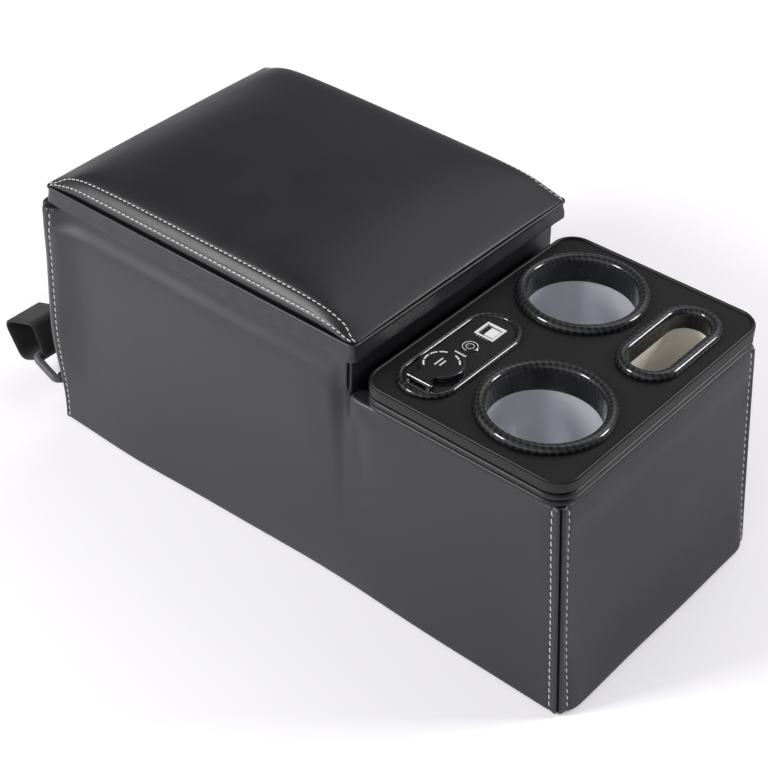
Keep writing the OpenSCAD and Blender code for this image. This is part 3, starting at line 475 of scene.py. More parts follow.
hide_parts("rear_cover")
step_leather = cover_mesh("leather_step", [
    [step_wall(cross_columns, z) for z in (152, 155, 157, 159, 161.5, 164, 167, 170, 174, 178, 181)]
    + rim_rows(step_wall, cross_columns, tall_rim, (-inner_x, rim_step), (inner_x, rim_step))], leather)
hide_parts("step_cover")

# Stitches of the corner seams
# Thick pale thread in two rows, one on each side of every upright corner seam, holding the
# turned-in edges flat.
thread, tree, shader = new_finish("pale_thread", (0.66, 0.64, 0.6), 0.7, Specular_IOR_Level=0.3)
twist = noise_on(tree, 1800.0, 2.0)
between(tree, twist, (0.56, 0.54, 0.5), (0.75, 0.73, 0.69), shader.inputs["Base Color"])
raise_grain(tree, shader, twist, 0.00015)


def way_along(line):
    """How far along a line each of its points lies."""
    return np.concatenate([[0], np.cumsum(np.linalg.norm(np.diff(line, axis=0), axis=1))])


def stitch_row(name, path, out, pitch, length, thick, body, slant=9.0):
    """A row of stitches along path, whose outward directions are out. Each stitch is a bent
    capsule: its middle stands on the leather, its ends dip into it, and it lies a little
    slanted. All of them are one mesh."""
    path, out = np.asarray(path, float), np.asarray(out, float)
    run = way_along(path)
    count = int(run[-1] / pitch)
    centres = (np.arange(count) + 0.5) * pitch

    def at(s, values):
        return np.stack([np.interp(s, run, values[:, k]) for k in range(3)], -1)

    middle, ahead, behind = at(centres, path), at(centres + 0.5, path), at(centres - 0.5, path)
    forward = ahead - behind
    forward /= np.linalg.norm(forward, axis=1, keepdims=True)
    up = at(centres, out)
    up -= (up * forward).sum(1, keepdims=True) * forward
    up /= np.linalg.norm(up, axis=1, keepdims=True)
    side = np.cross(up, forward)
    lean = math.radians(slant)
    forward = forward * math.cos(lean) + side * math.sin(lean)
    side = np.cross(up, forward)
    t = np.array([-1, -0.82, -0.4, 0, 0.4, 0.82, 1])
    ring = np.linspace(0, 2 * math.pi, 6, endpoint=False)
    radius = thick / 2 * np.sqrt(np.clip(1 - np.abs(t) ** 4, 0, 1))
    lift = thick * 0.34 - thick * 0.5 * t ** 2
    place = np.zeros((7, 6, 3))
    place[..., 0] = (t * length / 2)[:, None]
    place[..., 1] = radius[:, None] * np.cos(ring)
    place[..., 2] = radius[:, None] * np.sin(ring) * 0.8 + lift[:, None]
    shape = place.reshape(-1, 3)
    axes = np.stack([forward, side, up], 1)
    points = middle[:, None, :] + np.einsum("pk,nkj->npj", shape, axes)
    faces = quads(7, 6, joined=True)
    every = (faces[None] + (np.arange(count) * len(shape))[:, None, None]).reshape(-1, 4)
    return make_piece(name, points.reshape(-1, 3), every, thread, body)


def seam_stitches(name, wall, c, heights, flip):
    """One row beside a corner seam. flip mirrors a row of the left side to the right side."""
    path, outside = wall(np.full(len(heights), c), heights), wall(np.full(len(heights), c), heights, 1.0)
    out = outside - wall(np.full(len(heights), c), heights, 0.0)
    if flip:
        path, out = path * mirror_x, out * mirror_x
    return stitch_row(name, path, out, 5.4, 4.1, 0.85, "console")


low_heights, tall_heights = np.linspace(156, 3, 60), np.linspace(181, 3, 70)
for label, flip in (("left", False), ("right", True)):
    seam_stitches(f"stitches_front_{label}_side", left_wall, seam_row, low_heights, flip)
    seam_stitches(f"stitches_rear_{label}_side", left_wall, side_end - rear_row, tall_heights, flip)
    seam_stitches(f"stitches_front_{label}", front_wall, seam_row, low_heights, flip)
    seam_stitches(f"stitches_rear_{label}", rear_wall, rear_row, tall_heights, flip)

# Anti-slip mat
# Black rubber mat with a fine diamond pattern, glued under the base board inside the hem.
def rounded_loop(half_x, half_y, r, side_points=24, arc_points=7):
    """Closed plan of a rectangle with round corners, anticlockwise, always with the same
    number of points, so that loops of other sizes can be joined to it."""
    r = min(r, half_x, half_y)
    parts = []
    for k, (sx, sy) in enumerate(((1, 1), (-1, 1), (-1, -1), (1, -1))):
        a = k * math.pi / 2 + np.linspace(0, math.pi / 2, arc_points)
        parts.append(np.stack([sx * (half_x - r) + r * np.cos(a), sy * (half_y - r) + r * np.sin(a)], -1))
        nx, ny = ((-1, 1), (-1, -1), (1, -1), (1, 1))[k]
        nxt = np.array([nx * (half_x - r), ny * (half_y - r)])
        b = (k + 1) * math.pi / 2
        end = nxt + r * np.array([math.cos(b), math.sin(b)])
        t = np.linspace(0, 1, side_points + 2)[1:-1, None]
        parts.append(parts[-1][-1] + t * (end - parts[-1][-1]))
    return np.concatenate(parts)


def ring_piece(name, rings, middle, finish, body):
    """Closed shell through a stack of loops, each (half x, half y, corner radius, z), about
    the plan point middle. The first and last loops shrink to a point."""
    loops = []
    for half_x, half_y, r, z in rings:
        loop = rounded_loop(half_x, half_y, r) + np.asarray(middle)
        loops.append(np.column_stack([loop, np.full(len(loop), z)]))
    return loop_piece(name, loops, finish, body)


def inset_rings(half_x, half_y, rings):
    """Rings of one outline, each moved in by its (inset, corner radius, z)."""
    return [(half_x - inset, half_y - inset, r, z) for inset, r, z in rings]


def loop_piece(name, loops, finish, body, closed_ends=True):
    """Closed shell through loops of points, capped by a fan at each end or joined end to end."""
    if closed_ends:
        loops = [np.broadcast_to(loops[0].mean(0), loops[0].shape)] + loops
        loops = loops + [np.broadcast_to(loops[-1].mean(0), loops[-1].shape)]
    else:
        loops = loops + [loops[0]]
    grid = np.stack(loops)
    piece = make_piece(name, grid.reshape(-1, 3), quads(*grid.shape[:2], joined=True), finish, body)
    smoothed(piece)
    return piece


mat_finish, tree, shader = new_finish("mat_rubber", (0.018, 0.018, 0.018), 0.8)
diamonds = add_node(tree, "ShaderNodeTexVoronoi", {"Scale": 330.0}, distance="MANHATTAN")
tree.links.new(object_place(tree), diamonds.inputs["Vector"])
raise_grain(tree, shader, diamonds.outputs["Distance"], 0.0006)
between(tree, noise_on(tree, 40.0), (0.014, 0.014, 0.014), (0.024, 0.024, 0.023), shader.inputs["Base Color"])
mat_middle, mat_x, mat_y = (0.0, -3.25), 82.7, 197.9
base_mat = ring_piece("anti_slip_mat", [
    (mat_x / 2, mat_y / 2, 1, 0.0),
    *inset_rings(mat_x, mat_y, [(4, 2, 0.0), (0.6, 3, 0.1), (0, 3, 0.7), (0, 3, 2.4), (0.5, 3, 2.8)]),
    (mat_x / 2, mat_y / 2, 1, 2.8)], mat_middle, mat_finish, "console")
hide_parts("base_mat")

# Liner of the storage box
# Thin moulded bin, flocked with short black fibres, dropped into the tall part.
flock, tree, shader = new_finish("black_flock", (0.022, 0.022, 0.024), 0.95, Sheen_Weight=0.12,
                                 Sheen_Roughness=0.4)
fibres = noise_on(tree, 2600.0, 2.0)
between(tree, fibres, (0.014, 0.014, 0.016), (0.036, 0.036, 0.04), shader.inputs["Base Color"])
raise_grain(tree, shader, fibres, 0.0004)
bin_x, bin_y, bin_middle, bin_floor, bin_wall = 90.6, 117.6, (0.0, 78.5), 10.9, 1.5
storage_bin = ring_piece("storage_bin", [
    (bin_x / 2, bin_y / 2, 4, bin_floor),
    *inset_rings(bin_x, bin_y, [
        (6, 4, bin_floor), (1.2, 5, bin_floor + 0.6), (0, 5, bin_floor + 4), (0, 5, 60), (0, 5, 120),
        (0, 5, 181), (0.1, 5, 182.6), (0.8, 5, 183), (1.4, 5, 182.5), (bin_wall, 5, 180.5),
        (bin_wall, 5, 120), (bin_wall, 5, 60), (bin_wall, 5, bin_floor + 7), (2.6, 6, bin_floor + 3),
        (6, 6, bin_floor + 1.6)]),
    (bin_x / 2, bin_y / 2, 4, bin_floor + bin_wall)], bin_middle, flock, "console")
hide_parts("storage_liner")

# Lid hinges and screws
# Two black-coated steel butt hinges with steel pins, screwed through the leather into the
# rear board and the lid board with zinc-plated screws.
black_steel, tree, shader = new_finish("black_coated_steel", (0.03, 0.03, 0.033), 0.42, Metallic=0.4)
coat_marks = noise_on(tree, 240.0)
between(tree, coat_marks, (0.022, 0.022, 0.025), (0.045, 0.045, 0.048), shader.inputs["Base Color"])
between(tree, coat_marks, 0.36, 0.5, shader.inputs["Roughness"])
raise_grain(tree, shader, noise_on(tree, 1500.0), 0.00003)
dress(black_steel, "body_leaf_left", "body_leaf_right", "lid_leaf_left", "lid_leaf_right")
zinc, tree, shader = new_finish("zinc_plated_steel", (0.52, 0.52, 0.54), 0.3, Metallic=1.0)
zinc_marks = noise_on(tree, 500.0)
between(tree, zinc_marks, (0.44, 0.44, 0.47), (0.6, 0.6, 0.6), shader.inputs["Base Color"])
between(tree, zinc_marks, 0.24, 0.4, shader.inputs["Roughness"])
dress(zinc, "hinge_pin_left", "hinge_pin_right", "body_leaf_screws", "lid_leaf_screws", "frame_screws",
      "anchor_screws", "anchor_plate", "cap_hinge_pin", "usb_shell", "socket_barrel")

# Leather band of the lid
# A strip of the same leather drawn round the edge of the lid board and turned in below. It
# ends at the top in a thin piping, and is slightly creased where it is drawn tight.
lid_x, lid_y, lid_r, lid_middle = 106.0, 132.5, 4.0, (0.0, 75.5)
band_profile = [(-9, 197.2), (-3.0, 197.2), (-2.3, 197.4), (-1.9, 198.1), (-1.3, 198.7), (-0.5, 198.8),
                (0.2, 198.3), (0.4, 197.5), (0.0, 196.8), (-0.5, 196.3), (-0.5, 195.3), (-0.2, 193.2),
                (0.3, 190.6), (0.8, 188.2), (0.9, 187.0), (0.4, 186.0), (-0.7, 185.5), (-3.0, 185.4),
                (-9, 185.4), (-9, 186.7), (-3.0, 186.8), (-1.5, 187.2), (-1.4, 190.5), (-1.4, 194.0),
                (-1.5, 196.4), (-1.9, 197.02), (-9, 197.05)]
creases = np.random.default_rng(7)
crease_phase = creases.uniform(0, 2 * math.pi, 12)
crease_length = creases.uniform(9, 34, 12)


def crease_push(s, z):
    """Shallow creases of drawn leather: a dozen slanted waves of random length along s."""
    waves_sum = sum(np.sin(2 * math.pi * s / length + 0.35 * (z - 190) * (-1) ** k + phase)
                    for k, (length, phase) in enumerate(zip(crease_length, crease_phase)))
    return 0.07 * waves_sum


band_loops = []
for inset, z in band_profile:
    loop = rounded_loop(lid_x + inset, lid_y + inset, max(lid_r + inset, 1.5), side_points=64, arc_points=9)
    amount = crease_push(way_along(loop), z) * (inset > -1.3) * (z < 196)
    loop = loop + np.sign(loop) * amount[:, None] * (np.abs(loop) > (lid_x - 12, lid_y - 12))
    band_loops.append(np.column_stack([loop + lid_middle, np.full(len(loop), z)]))
lid_band = loop_piece("lid_band", band_loops, leather, "lid", closed_ends=False)
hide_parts("lid_wrap")

# Lining of the lid
# Black felt on thin foam, glued under the lid board inside the turned-in leather.
lining_x, lining_y = 96.7, 123.2
lid_lining = ring_piece("lid_lining_felt", [
    (lining_x * 0.4, lining_y * 0.4, 4, 185.3), (lining_x * 0.8, lining_y * 0.8, 5, 185.3),
    *inset_rings(lining_x, lining_y, [(5, 5, 185.45), (1.2, 4, 185.8), (0, 3, 186.5), (0.2, 3, 186.95)]),
    (lining_x / 2, lining_y / 2, 2, 186.95)], lid_middle, flock, "lid")
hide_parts("lid_lining")

# Cushion of the lid
# Crowned foam under leather: one top panel, and along each long side a strip sewn on with two
# rows of stitches. The sides sink towards the corners, where the rows run down to the band.
cushion_z, edge_rise, crown_rise = 197.3, 16.4, 8.6
side_profile = [(4.4, 0.0), (3.6, 0.8), (2.5, 2.2), (1.5, 3.8), (1.0, 5.2), (1.15, 6.5), (1.7, 7.6),
                (2.2, 8.3), (2.8, 9.0), (4.0, 10.3), (5.6, 11.9), (6.9, 12.9), (7.5, 13.2), (8.2, 13.6),
                (10.0, 14.4), (13.0, 15.3), (16.5, 15.9), (21.0, edge_rise)]
row_low, row_high = 7, 12
loop_corner, loop_side = 11, 44
loop_quarter = loop_corner + loop_side


def cushion_height(x, y, rise):
    """Height over the band: the side's own rise, lower towards the ends, plus a smooth crown."""
    across = np.clip(np.abs(x) / lid_x, 0, 1)
    along = np.clip(np.abs(y) / lid_y, 0, 1)
    from_end = lid_y - np.abs(y)
    ends = 0.6 * hump(from_end, 35) * (1 - across ** 4) + 0.75 * across ** 4 * hump(from_end, 17)
    return rise * (1 - ends) + crown_rise * (1 - across ** 2.2) * (1 - along ** 2.6)


def cushion_loop(inset, rise, shrink=1.0):
    """One loop of the cushion: the lid's outline, moved in by inset and then shrunk."""
    loop = shrink * rounded_loop(lid_x - inset, lid_y - inset, 5.5 + 0.5 * inset, loop_side, loop_corner)
    z = cushion_z + cushion_height(loop[:, 0], loop[:, 1], rise)
    return np.column_stack([loop + lid_middle, z])


cushion_loops = []
for k, (inset, rise) in enumerate(side_profile):
    loop = cushion_loop(inset, rise)
    if k in (row_low, row_high):
        off_middle = np.abs(loop[:, :2] - lid_middle)
        long_side = smooth_step((off_middle[:, 0] - 85) / 8) * (1 - smooth_step((off_middle[:, 1] - 118) / 8))
        loop[:, 0] -= np.sign(loop[:, 0]) * 0.3 * long_side
        loop[:, 2] -= 0.3 * long_side
    cushion_loops.append(loop)
cushion_loops[0][:, 2] = cushion_z
for shrink in (0.93, 0.84, 0.72, 0.58, 0.42, 0.26, 0.12):
    cushion_loops.append(cushion_loop(21.0, edge_rise, shrink))
under_loop = cushion_loop(20, 0)
under_loop[:, 2] = cushion_z
cushion_loops.insert(0, under_loop)
cushion = loop_piece("lid_cushion_leather", cushion_loops, leather, "lid")
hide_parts("lid_cushion")


def cushion_row(level, sign):
    """Path and outward directions of a row of stitches on a long side. The row keeps to one
    level of the side profile and sinks a little at both corners, where the upper row reaches
    further round. level and the way along the loop are read between the points of the loops."""
    grid = np.stack(cushion_loops[1:])
    first = loop_quarter if sign < 0 else 3 * loop_quarter
    reach, fall = (0.75, 8) if level == row_high else (0.5, 4)
    way = first + np.linspace((1 - reach) * loop_corner, (1 + reach) * loop_corner + loop_side, 300)
    ends = np.minimum(way - way[0], way[-1] - way) / fall
    height = 3.5 + (level - 3.5) * smooth_step(ends) ** 0.7

    def at(rows, places):
        row, col = np.floor(rows).astype(int), np.floor(places).astype(int)
        r, c = (rows - row)[:, None], (places - col)[:, None]
        col, after = col % grid.shape[1], (col + 1) % grid.shape[1]
        near = grid[row, col] * (1 - c) + grid[row, after] * c
        far = grid[row + 1, col] * (1 - c) + grid[row + 1, after] * c
        return near * (1 - r) + far * r

    path = at(height, way)
    forward = at(height, way + 0.5) - at(height, way - 0.5)
    out = np.cross(forward, at(height + 0.8, way) - at(height - 0.8, way))
    out *= np.sign((out * (path - (*lid_middle, 190))).sum(1, keepdims=True))
    return path, out / np.linalg.norm(out, axis=1, keepdims=True)


for label, sign in (("left", -1), ("right", 1)):
    for level, index in (("low", row_low), ("high", row_high)):
        path, out = cushion_row(index, sign)
        stitch_row(f"stitches_lid_{label}_{level}", path, out, 4.0, 3.3, 0.75, "lid", slant=6.0)

# Frame of the cup panel
# Moulded black frame with two beads, screwed down on the leather rim.
frame_plastic = grained("satin_black_plastic", (0.008, 0.008, 0.009), (0.011, 0.011, 0.012), 0.38, 0.44,
                        0.0006, 0.00001, Specular_IOR_Level=0.35)
dress(frame_plastic, "tray_frame", "charger_housing")

# Cup panel
# Injection-moulded black panel with a fine matt texture and a thin raised rim.
panel_plastic = grained("matt_black_plastic", (0.0045, 0.0046, 0.005), (0.0065, 0.0066, 0.007), 0.44, 0.5,
                        0.0005, 0.00001, Specular_IOR_Level=0.36)
dress(panel_plastic, "cup_panel")

# Glossy trims
# Plastic rings and ovals with a printed twill of carbon tows under a thick clear coat. The
# cup rings carry a ribbed collar that goes down into the cup. On the collars the twill is
# painted darker, as painted shade of the recess.
panel_top = 175.5
tow = 1.15
cup_middles = {"left": (-53.0, -158.5), "right": (53.0, -109.0)}


def closed_line(line):
    """A line with its first point once more at its end."""
    return np.vstack([line, line[:1]])


def outline(half_x, half_y, r, step):
    """Closed outline of a rectangle with round corners: points, outward directions and the
    way along it. Sides of no length are left out, so it also draws circles and ovals."""
    points, out = [], []
    for k, signs in enumerate(((1, 1), (-1, 1), (-1, -1), (1, -1))):
        count = max(6, int(r * math.pi / 2 / step))
        a = k * math.pi / 2 + np.linspace(0, math.pi / 2, count, endpoint=False)
        away = np.stack([np.cos(a), np.sin(a)], -1)
        centre = np.array(signs) * (half_x - r, half_y - r)
        points.append(centre + r * away)
        out.append(away)
        length = 2 * (half_x - r) if k % 2 == 0 else 2 * (half_y - r)
        if length > 0.01:
            b = (k + 1) * math.pi / 2
            away = np.array([math.cos(b), math.sin(b)])
            heading = np.array([-away[1], away[0]])
            t = np.linspace(0, length, max(2, int(length / step)), endpoint=False)
            points.append(centre + r * away + t[:, None] * heading)
            out.append(np.broadcast_to(away, (len(t), 2)))
    points, out = np.concatenate(points), np.concatenate(out)
    return points, out, way_along(closed_line(points))


def pattern_corners(columns, rows):
    """Pattern coordinates of the corners of a grid's faces. columns and rows are how far
    along the grid's columns and rows each line of it lies."""
    row, col = np.broadcast_arrays(np.arange(len(rows) - 1)[:, None], np.arange(len(columns) - 1))
    u = np.stack([columns[col + k] for k in (0, 1, 1, 0)], -1)
    v = np.stack([rows[row + k] for k in (0, 0, 1, 1)], -1)
    return np.stack([u, v], -1).reshape(-1, 2)


def oval_trim(name, profile, border, middle, replaced):
    """Trim whose closed profile of (offset, height) is carried round an outline on the panel.
    The pattern coordinates are the way along the outline, fitted to a whole number of twill
    repeats, and the way across the profile."""
    points, out, run = border
    ring = closed_line(np.asarray(profile, float))
    plan = points[None] + ring[:, 0, None, None] * out[None] + np.asarray(middle)
    height = np.broadcast_to((panel_top + ring[:, 1])[:, None, None], (*plan.shape[:2], 1))
    grid = np.concatenate([plan, height], -1)
    repeat = 4 * tow
    along = run * max(1, round(run[-1] / repeat)) * repeat / run[-1]
    piece = make_piece(name, grid.reshape(-1, 3), quads(*grid.shape[:2], joined=True), carbon, "console",
                       corners=pattern_corners(along, way_along(ring)))
    smoothed(piece)
    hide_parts(replaced)


def pattern_axes(tree):
    """The two pattern coordinates of a surface."""
    pattern = add_node(tree, "ShaderNodeUVMap", uv_map="pattern")
    split = add_node(tree, "ShaderNodeSeparateXYZ")
    tree.links.new(pattern.outputs["UV"], split.inputs["Vector"])
    return split.outputs["X"], split.outputs["Y"]


def math_node(tree, operation, *values):
    """One Math node. Its values are sockets or numbers."""
    made = add_node(tree, "ShaderNodeMath", operation=operation)
    for place, value in enumerate(values):
        if isinstance(value, bpy.types.NodeSocket):
            tree.links.new(value, made.inputs[place])
        else:
            made.inputs[place].default_value = value
    return made.outputs[0]


carbon, tree, shader = new_finish("carbon_twill", (0.02, 0.021, 0.023), 0.36, Coat_Weight=1.0,
                                  Coat_Roughness=0.03, Coat_IOR=1.5, Specular_IOR_Level=0.15)
along_trim, across_trim = pattern_axes(tree)
column = math_node(tree, "FLOOR", math_node(tree, "DIVIDE", along_trim, tow * MM))
line = math_node(tree, "FLOOR", math_node(tree, "DIVIDE", across_trim, 3.2 * tow * MM))
step_of = math_node(tree, "FLOORED_MODULO", math_node(tree, "ADD", column, line), 4.0)
on_top = math_node(tree, "LESS_THAN", step_of, 2.0)
# Past 13.6 mm across the profile, on the collars that go down into the cups and the slot, the twill is painted
# 65 % darker. This is painted shade of the recess, not a colour of the trim.
on_collar = math_node(tree, "GREATER_THAN", across_trim, 13.6 * MM)
collar_painted_shade = math_node(tree, "SUBTRACT", 1.0, math_node(tree, "MULTIPLY", on_collar, 0.65))
twill_with_painted_shade = math_node(tree, "MULTIPLY", on_top, collar_painted_shade)
between(tree, twill_with_painted_shade, (0.0012, 0.0013, 0.0016), (0.018, 0.0195, 0.0225), shader.inputs["Base Color"])
between(tree, on_top, 0.5, 0.3, shader.inputs["Roughness"])
raise_grain(tree, shader, on_top, 0.00004)

rounded_rim = [(0, 0), (0, 1.2), (-0.25, 2.6), (-0.9, 3.8), (-2.0, 4.65), (-3.75, 5.0), (-5.4, 4.75),
               (-6.6, 3.9), (-7.3, 2.6), (-7.5, 1.0)]
ring_profile = rounded_rim + [(-7.5, -3), (-7.5, -7), (-7.5, -11), (-7.5, -13.8), (-7.3, -14.2),
                              (-6.6, -14.2), (-6.2, -14), (-6.2, -8), (-6.2, -0.4), (-6.0, 0), (-3, 0)]
slot_profile = rounded_rim + [(-7.5, -3), (-7.5, -6), (-7.5, -8.8), (-7.3, -9.2), (-6.4, -9.2), (-6.2, -8.9),
                              (-6.2, -4), (-6.2, -0.4), (-6.0, 0), (-3, 0)]
charger_profile = [(0, 0), (0, 0.9), (-0.2, 1.9), (-0.8, 2.7), (-1.5, 3.05), (-2.25, 3.15), (-3.1, 3.0),
                   (-3.8, 2.6), (-4.3, 1.9), (-4.5, 0.9), (-4.5, -1.3), (-4.4, -1.5), (-3.4, -1.5),
                   (-3.2, -1.3), (-3.2, -0.2), (-3.0, 0)]
for label, middle in cup_middles.items():
    oval_trim(f"cup_trim_{label}", ring_profile, outline(42.5, 42.5, 42.5, 2.4), middle, f"cup_ring_{label}")
oval_trim("slot_oval", slot_profile, outline(42.0, 21.0, 21.0, 2.4), (45.5, -178.5), "slot_trim")
oval_trim("charger_oval", charger_profile, outline(49.0, 20.0, 20.0, 1.8), (-46.5, -90.5), "charger_trim")

# Cup liners
# Satin silver-grey cups, spun from thin sheet with a rounded foot, hanging under the panel.
satin, tree, shader = new_finish("satin_silver", (0.84, 0.85, 0.89), 0.29, Metallic=0.55)
between(tree, noise_on(tree, 12.0, 1.0), 0.28, 0.3, shader.inputs["Roughness"])
between(tree, noise_on(tree, 20.0, 2.0), (0.83, 0.84, 0.88), (0.86, 0.87, 0.91),
        shader.inputs["Base Color"])
raise_grain(tree, shader, noise_on(tree, 900.0, 2.0), 0.000003)
liner_profile = [(0.01, -70), (12, -70), (24, -70), (31, -69.7), (34.6, -68.2), (36.3, -65), (36.6, -60),
                 (36.6, -45), (36.6, -30), (36.6, -15), (36.6, -4.4), (36.7, -3.2), (37.0, -3.0),
                 (39.8, -3.0), (40.2, -3.3), (40.2, -4.0), (39.8, -4.2), (38.2, -4.2), (37.8, -4.6), (37.8, -15),
                 (37.8, -30), (37.8, -45), (37.8, -61), (37.3, -66), (35.4, -69.5), (31.5, -71), (24, -71.2),
                 (12, -71.2), (0.01, -71.2)]


def spun_loops(profile, middle, base_z, count=48):
    """Loops of a profile of (radius, height) that is spun about an upright axis."""
    a = np.linspace(0, 2 * math.pi, count, endpoint=False)
    round_plan = np.stack([np.cos(a), np.sin(a)], -1)
    return [np.column_stack([middle + r * round_plan, np.full(count, base_z + z)]) for r, z in profile]


for label, middle in cup_middles.items():
    cup_loops = spun_loops(liner_profile, middle, panel_top)
    cup = loop_piece(f"cup_{label}", cup_loops, satin, "console")
    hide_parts(f"cup_liner_{label}")

# Pocket of the card slot
# Cream plastic pocket moulded in one piece, under the oval trim.
cream = grained("cream_plastic", (0.9, 0.87, 0.8), (0.92, 0.89, 0.83), 0.22, 0.3, 0.0008, 0.000005)
dress(cream, "slot_liner")

# Charger
# Gloss-black face plate with a charging port, a light bar, a push button and a 12 V socket
# under a flip cap, on a housing with a small circuit board.
gloss, tree, shader = new_finish("gloss_black_plastic", (0.006, 0.006, 0.007), 0.09, Coat_Weight=0.5,
                                 Coat_Roughness=0.04)
between(tree, noise_on(tree, 90.0), 0.07, 0.13, shader.inputs["Roughness"])
raise_grain(tree, shader, noise_on(tree, 25.0, 1.0), 0.00003)
dress(gloss, "charger_plate", "socket_cap", "power_button")
white_plastic, tree, shader = new_finish("white_plastic", (0.78, 0.78, 0.78), 0.35)
between(tree, noise_on(tree, 300.0), (0.74, 0.74, 0.74), (0.82, 0.82, 0.81),
        shader.inputs["Base Color"])
dress(white_plastic, "usb_frame", "usb_insert", "led_bar")
board_green, tree, shader = new_finish("circuit_board", (0.02, 0.12, 0.05), 0.35)
between(tree, noise_on(tree, 400.0, 1.0), (0.015, 0.10, 0.04), (0.03, 0.16, 0.07),
        shader.inputs["Base Color"])
dress(board_green, "charger_board")
grey_plastic, tree, shader = new_finish("grey_plastic", (0.075, 0.075, 0.08), 0.42)
between(tree, noise_on(tree, 500.0), (0.06, 0.06, 0.065), (0.09, 0.09, 0.095),
        shader.inputs["Base Color"])
raise_grain(tree, shader, noise_on(tree, 1500.0), 0.00002)
dress(grey_plastic, "button_switch", "strap_ring")
brass, tree, shader = new_finish("brass", (0.7, 0.52, 0.22), 0.28, Metallic=1.0)
between(tree, noise_on(tree, 600.0), 0.22, 0.36, shader.inputs["Roughness"])
dress(brass, "socket_contact")
print_white, tree, shader = new_finish("printed_marks", (0.7, 0.7, 0.7), 0.5)
between(tree, noise_on(tree, 2000.0), (0.6, 0.6, 0.6), (0.75, 0.75, 0.75), shader.inputs["Base Color"])


def printed(name, strokes, z, body):
    """Printed marks: each stroke is a centreline of plan points and a width, drawn as a flat
    bar 0.06 mm high on the surface at height z."""
    points, faces, first = [], [], 0
    for line, width in strokes:
        line = np.asarray(line, float)
        heading = np.gradient(line, axis=0)
        heading /= np.linalg.norm(heading, axis=1, keepdims=True)
        side = np.stack([-heading[:, 1], heading[:, 0]], -1) * width / 2
        section = [(-1, -0.02), (1, -0.02), (1, 0.04), (-1, 0.04)]
        count = len(line)
        grid = np.stack([np.column_stack([line + s * side, np.full(count, z + h)]) for s, h in section], 1)
        points.append(grid.reshape(-1, 3))
        sides = quads(count, 4, first, joined=True)
        start = first + np.arange(4)
        faces.append(np.concatenate([sides, [start, (start + 4 * (count - 1))[::-1]]]))
        first += 4 * count
    piece = make_piece(name, np.concatenate(points), np.concatenate(faces), print_white, body)
    piece.data.polygons.foreach_set("use_smooth", [False] * len(piece.data.polygons))


def arc_line(middle, r, first, last, count=24):
    """Centreline of an arc from first to last degrees."""
    a = np.radians(np.linspace(first, last, count))
    return np.stack([middle[0] + r * np.cos(a), middle[1] + r * np.sin(a)], -1)


plate_z, button_z, cap_z = 177.0, 177.5, 180.9
button_middle, cap_middle = (-37.0, -90.5), (-64.5, -90.5)
button_marks = [(arc_line(button_middle, 4.8, -110, 190), 0.45), (arc_line(button_middle, 2.5, 0, 360), 0.4)]
printed("button_marks", button_marks, button_z, "power_button")
tick_marks = [([(-25.6, y), (-24.9, y)], 0.35) for y in (-94.5, -92.5, -90.5, -88.5, -86.5)]
printed("plate_marks", tick_marks, plate_z, "console")
cap_marks = [(arc_line(cap_middle, 10.8, a, a + 26, 8), 1.1) for a in (20, 52, 84, 116)]
cap_marks += [(arc_line(cap_middle, 10.8, a, a + 22, 8), 1.1) for a in (-60, -32)]
cap_marks += [([(-68.5, -88.3), (-60.5, -88.3)], 1.0), ([(-67.5, -91.2), (-61.5, -91.2)], 1.0)]
printed("cap_marks", cap_marks, cap_z, "socket_cap")

# Strap
# Ribbed black webbing: a short tab sewn to the rear wall under a steel plate, a plastic ring,
# and a closed loop that hangs from the ring.
webbing, tree, shader = new_finish("black_webbing", (0.005, 0.005, 0.006), 0.75, Sheen_Weight=0.1)
across_web, along_web = pattern_axes(tree)
rib_pitch, cross_pitch = 1.3 * MM, 2.1 * MM
rib = math_node(tree, "SINE", math_node(tree, "MULTIPLY", across_web, 2 * math.pi / rib_pitch))
cross_rib = math_node(tree, "SINE", math_node(tree, "MULTIPLY", along_web, 2 * math.pi / cross_pitch))
ribs = math_node(tree, "MULTIPLY_ADD", math_node(tree, "MULTIPLY", rib, cross_rib), 0.5, 0.5)
between(tree, ribs, (0.003, 0.003, 0.004), (0.010, 0.010, 0.011), shader.inputs["Base Color"])
raise_grain(tree, shader, ribs, 0.0003)
web_w, web_t, strap_x = 30.0, 1.6, -79.0


def web_ribbon(name, line, joined):
    """Webbing along a line of (y, z) points: a flat ribbon of its real width and thickness with
    rounded edges, and pattern coordinates along and across it."""
    line = np.asarray(line, float)
    if joined:
        line = closed_line(line)
    heading = np.gradient(line, axis=0)
    if joined:
        heading[0] = heading[-1] = line[1] - line[-2]
    heading /= np.linalg.norm(heading, axis=1, keepdims=True)
    normal = np.stack([-heading[:, 1], heading[:, 0]], -1)
    run = way_along(line)
    half, t = web_w / 2, web_t / 2
    section = [(-half, 0)] + [(x, t) for x in np.linspace(-half + 0.6, half - 0.6, 7)] + [(half, 0)]
    section += [(x, -t) for x in np.linspace(half - 0.6, -half + 0.6, 7)]
    section = np.array(section)
    across = way_along(closed_line(section))
    yz = line[:, None, :] + section[None, :, 1, None] * normal[:, None, :]
    x = np.broadcast_to(strap_x + section[None, :, 0, None], (len(line), len(section), 1))
    grid = np.concatenate([x, yz], -1)
    rows, cols = grid.shape[:2]
    corners = pattern_corners(across, run)
    faces = quads(rows, cols, joined=True).tolist()
    if not joined:
        faces += [list(range(cols)), [(rows - 1) * cols + k for k in range(cols)][::-1]]
        ends = np.stack([across[:-1], np.zeros(cols)], -1)
        corners = np.concatenate([corners, ends, ends[::-1]])
    piece = make_piece(name, grid.reshape(-1, 3), faces, webbing, "console", corners=corners)
    return piece


def resampled(line, step):
    """Points at even steps along a line."""
    line = np.asarray(line, float)
    run = way_along(line)
    s = np.linspace(0, run[-1], max(4, int(run[-1] / step)))
    return np.stack([np.interp(s, run, line[:, k]) for k in range(2)], -1)


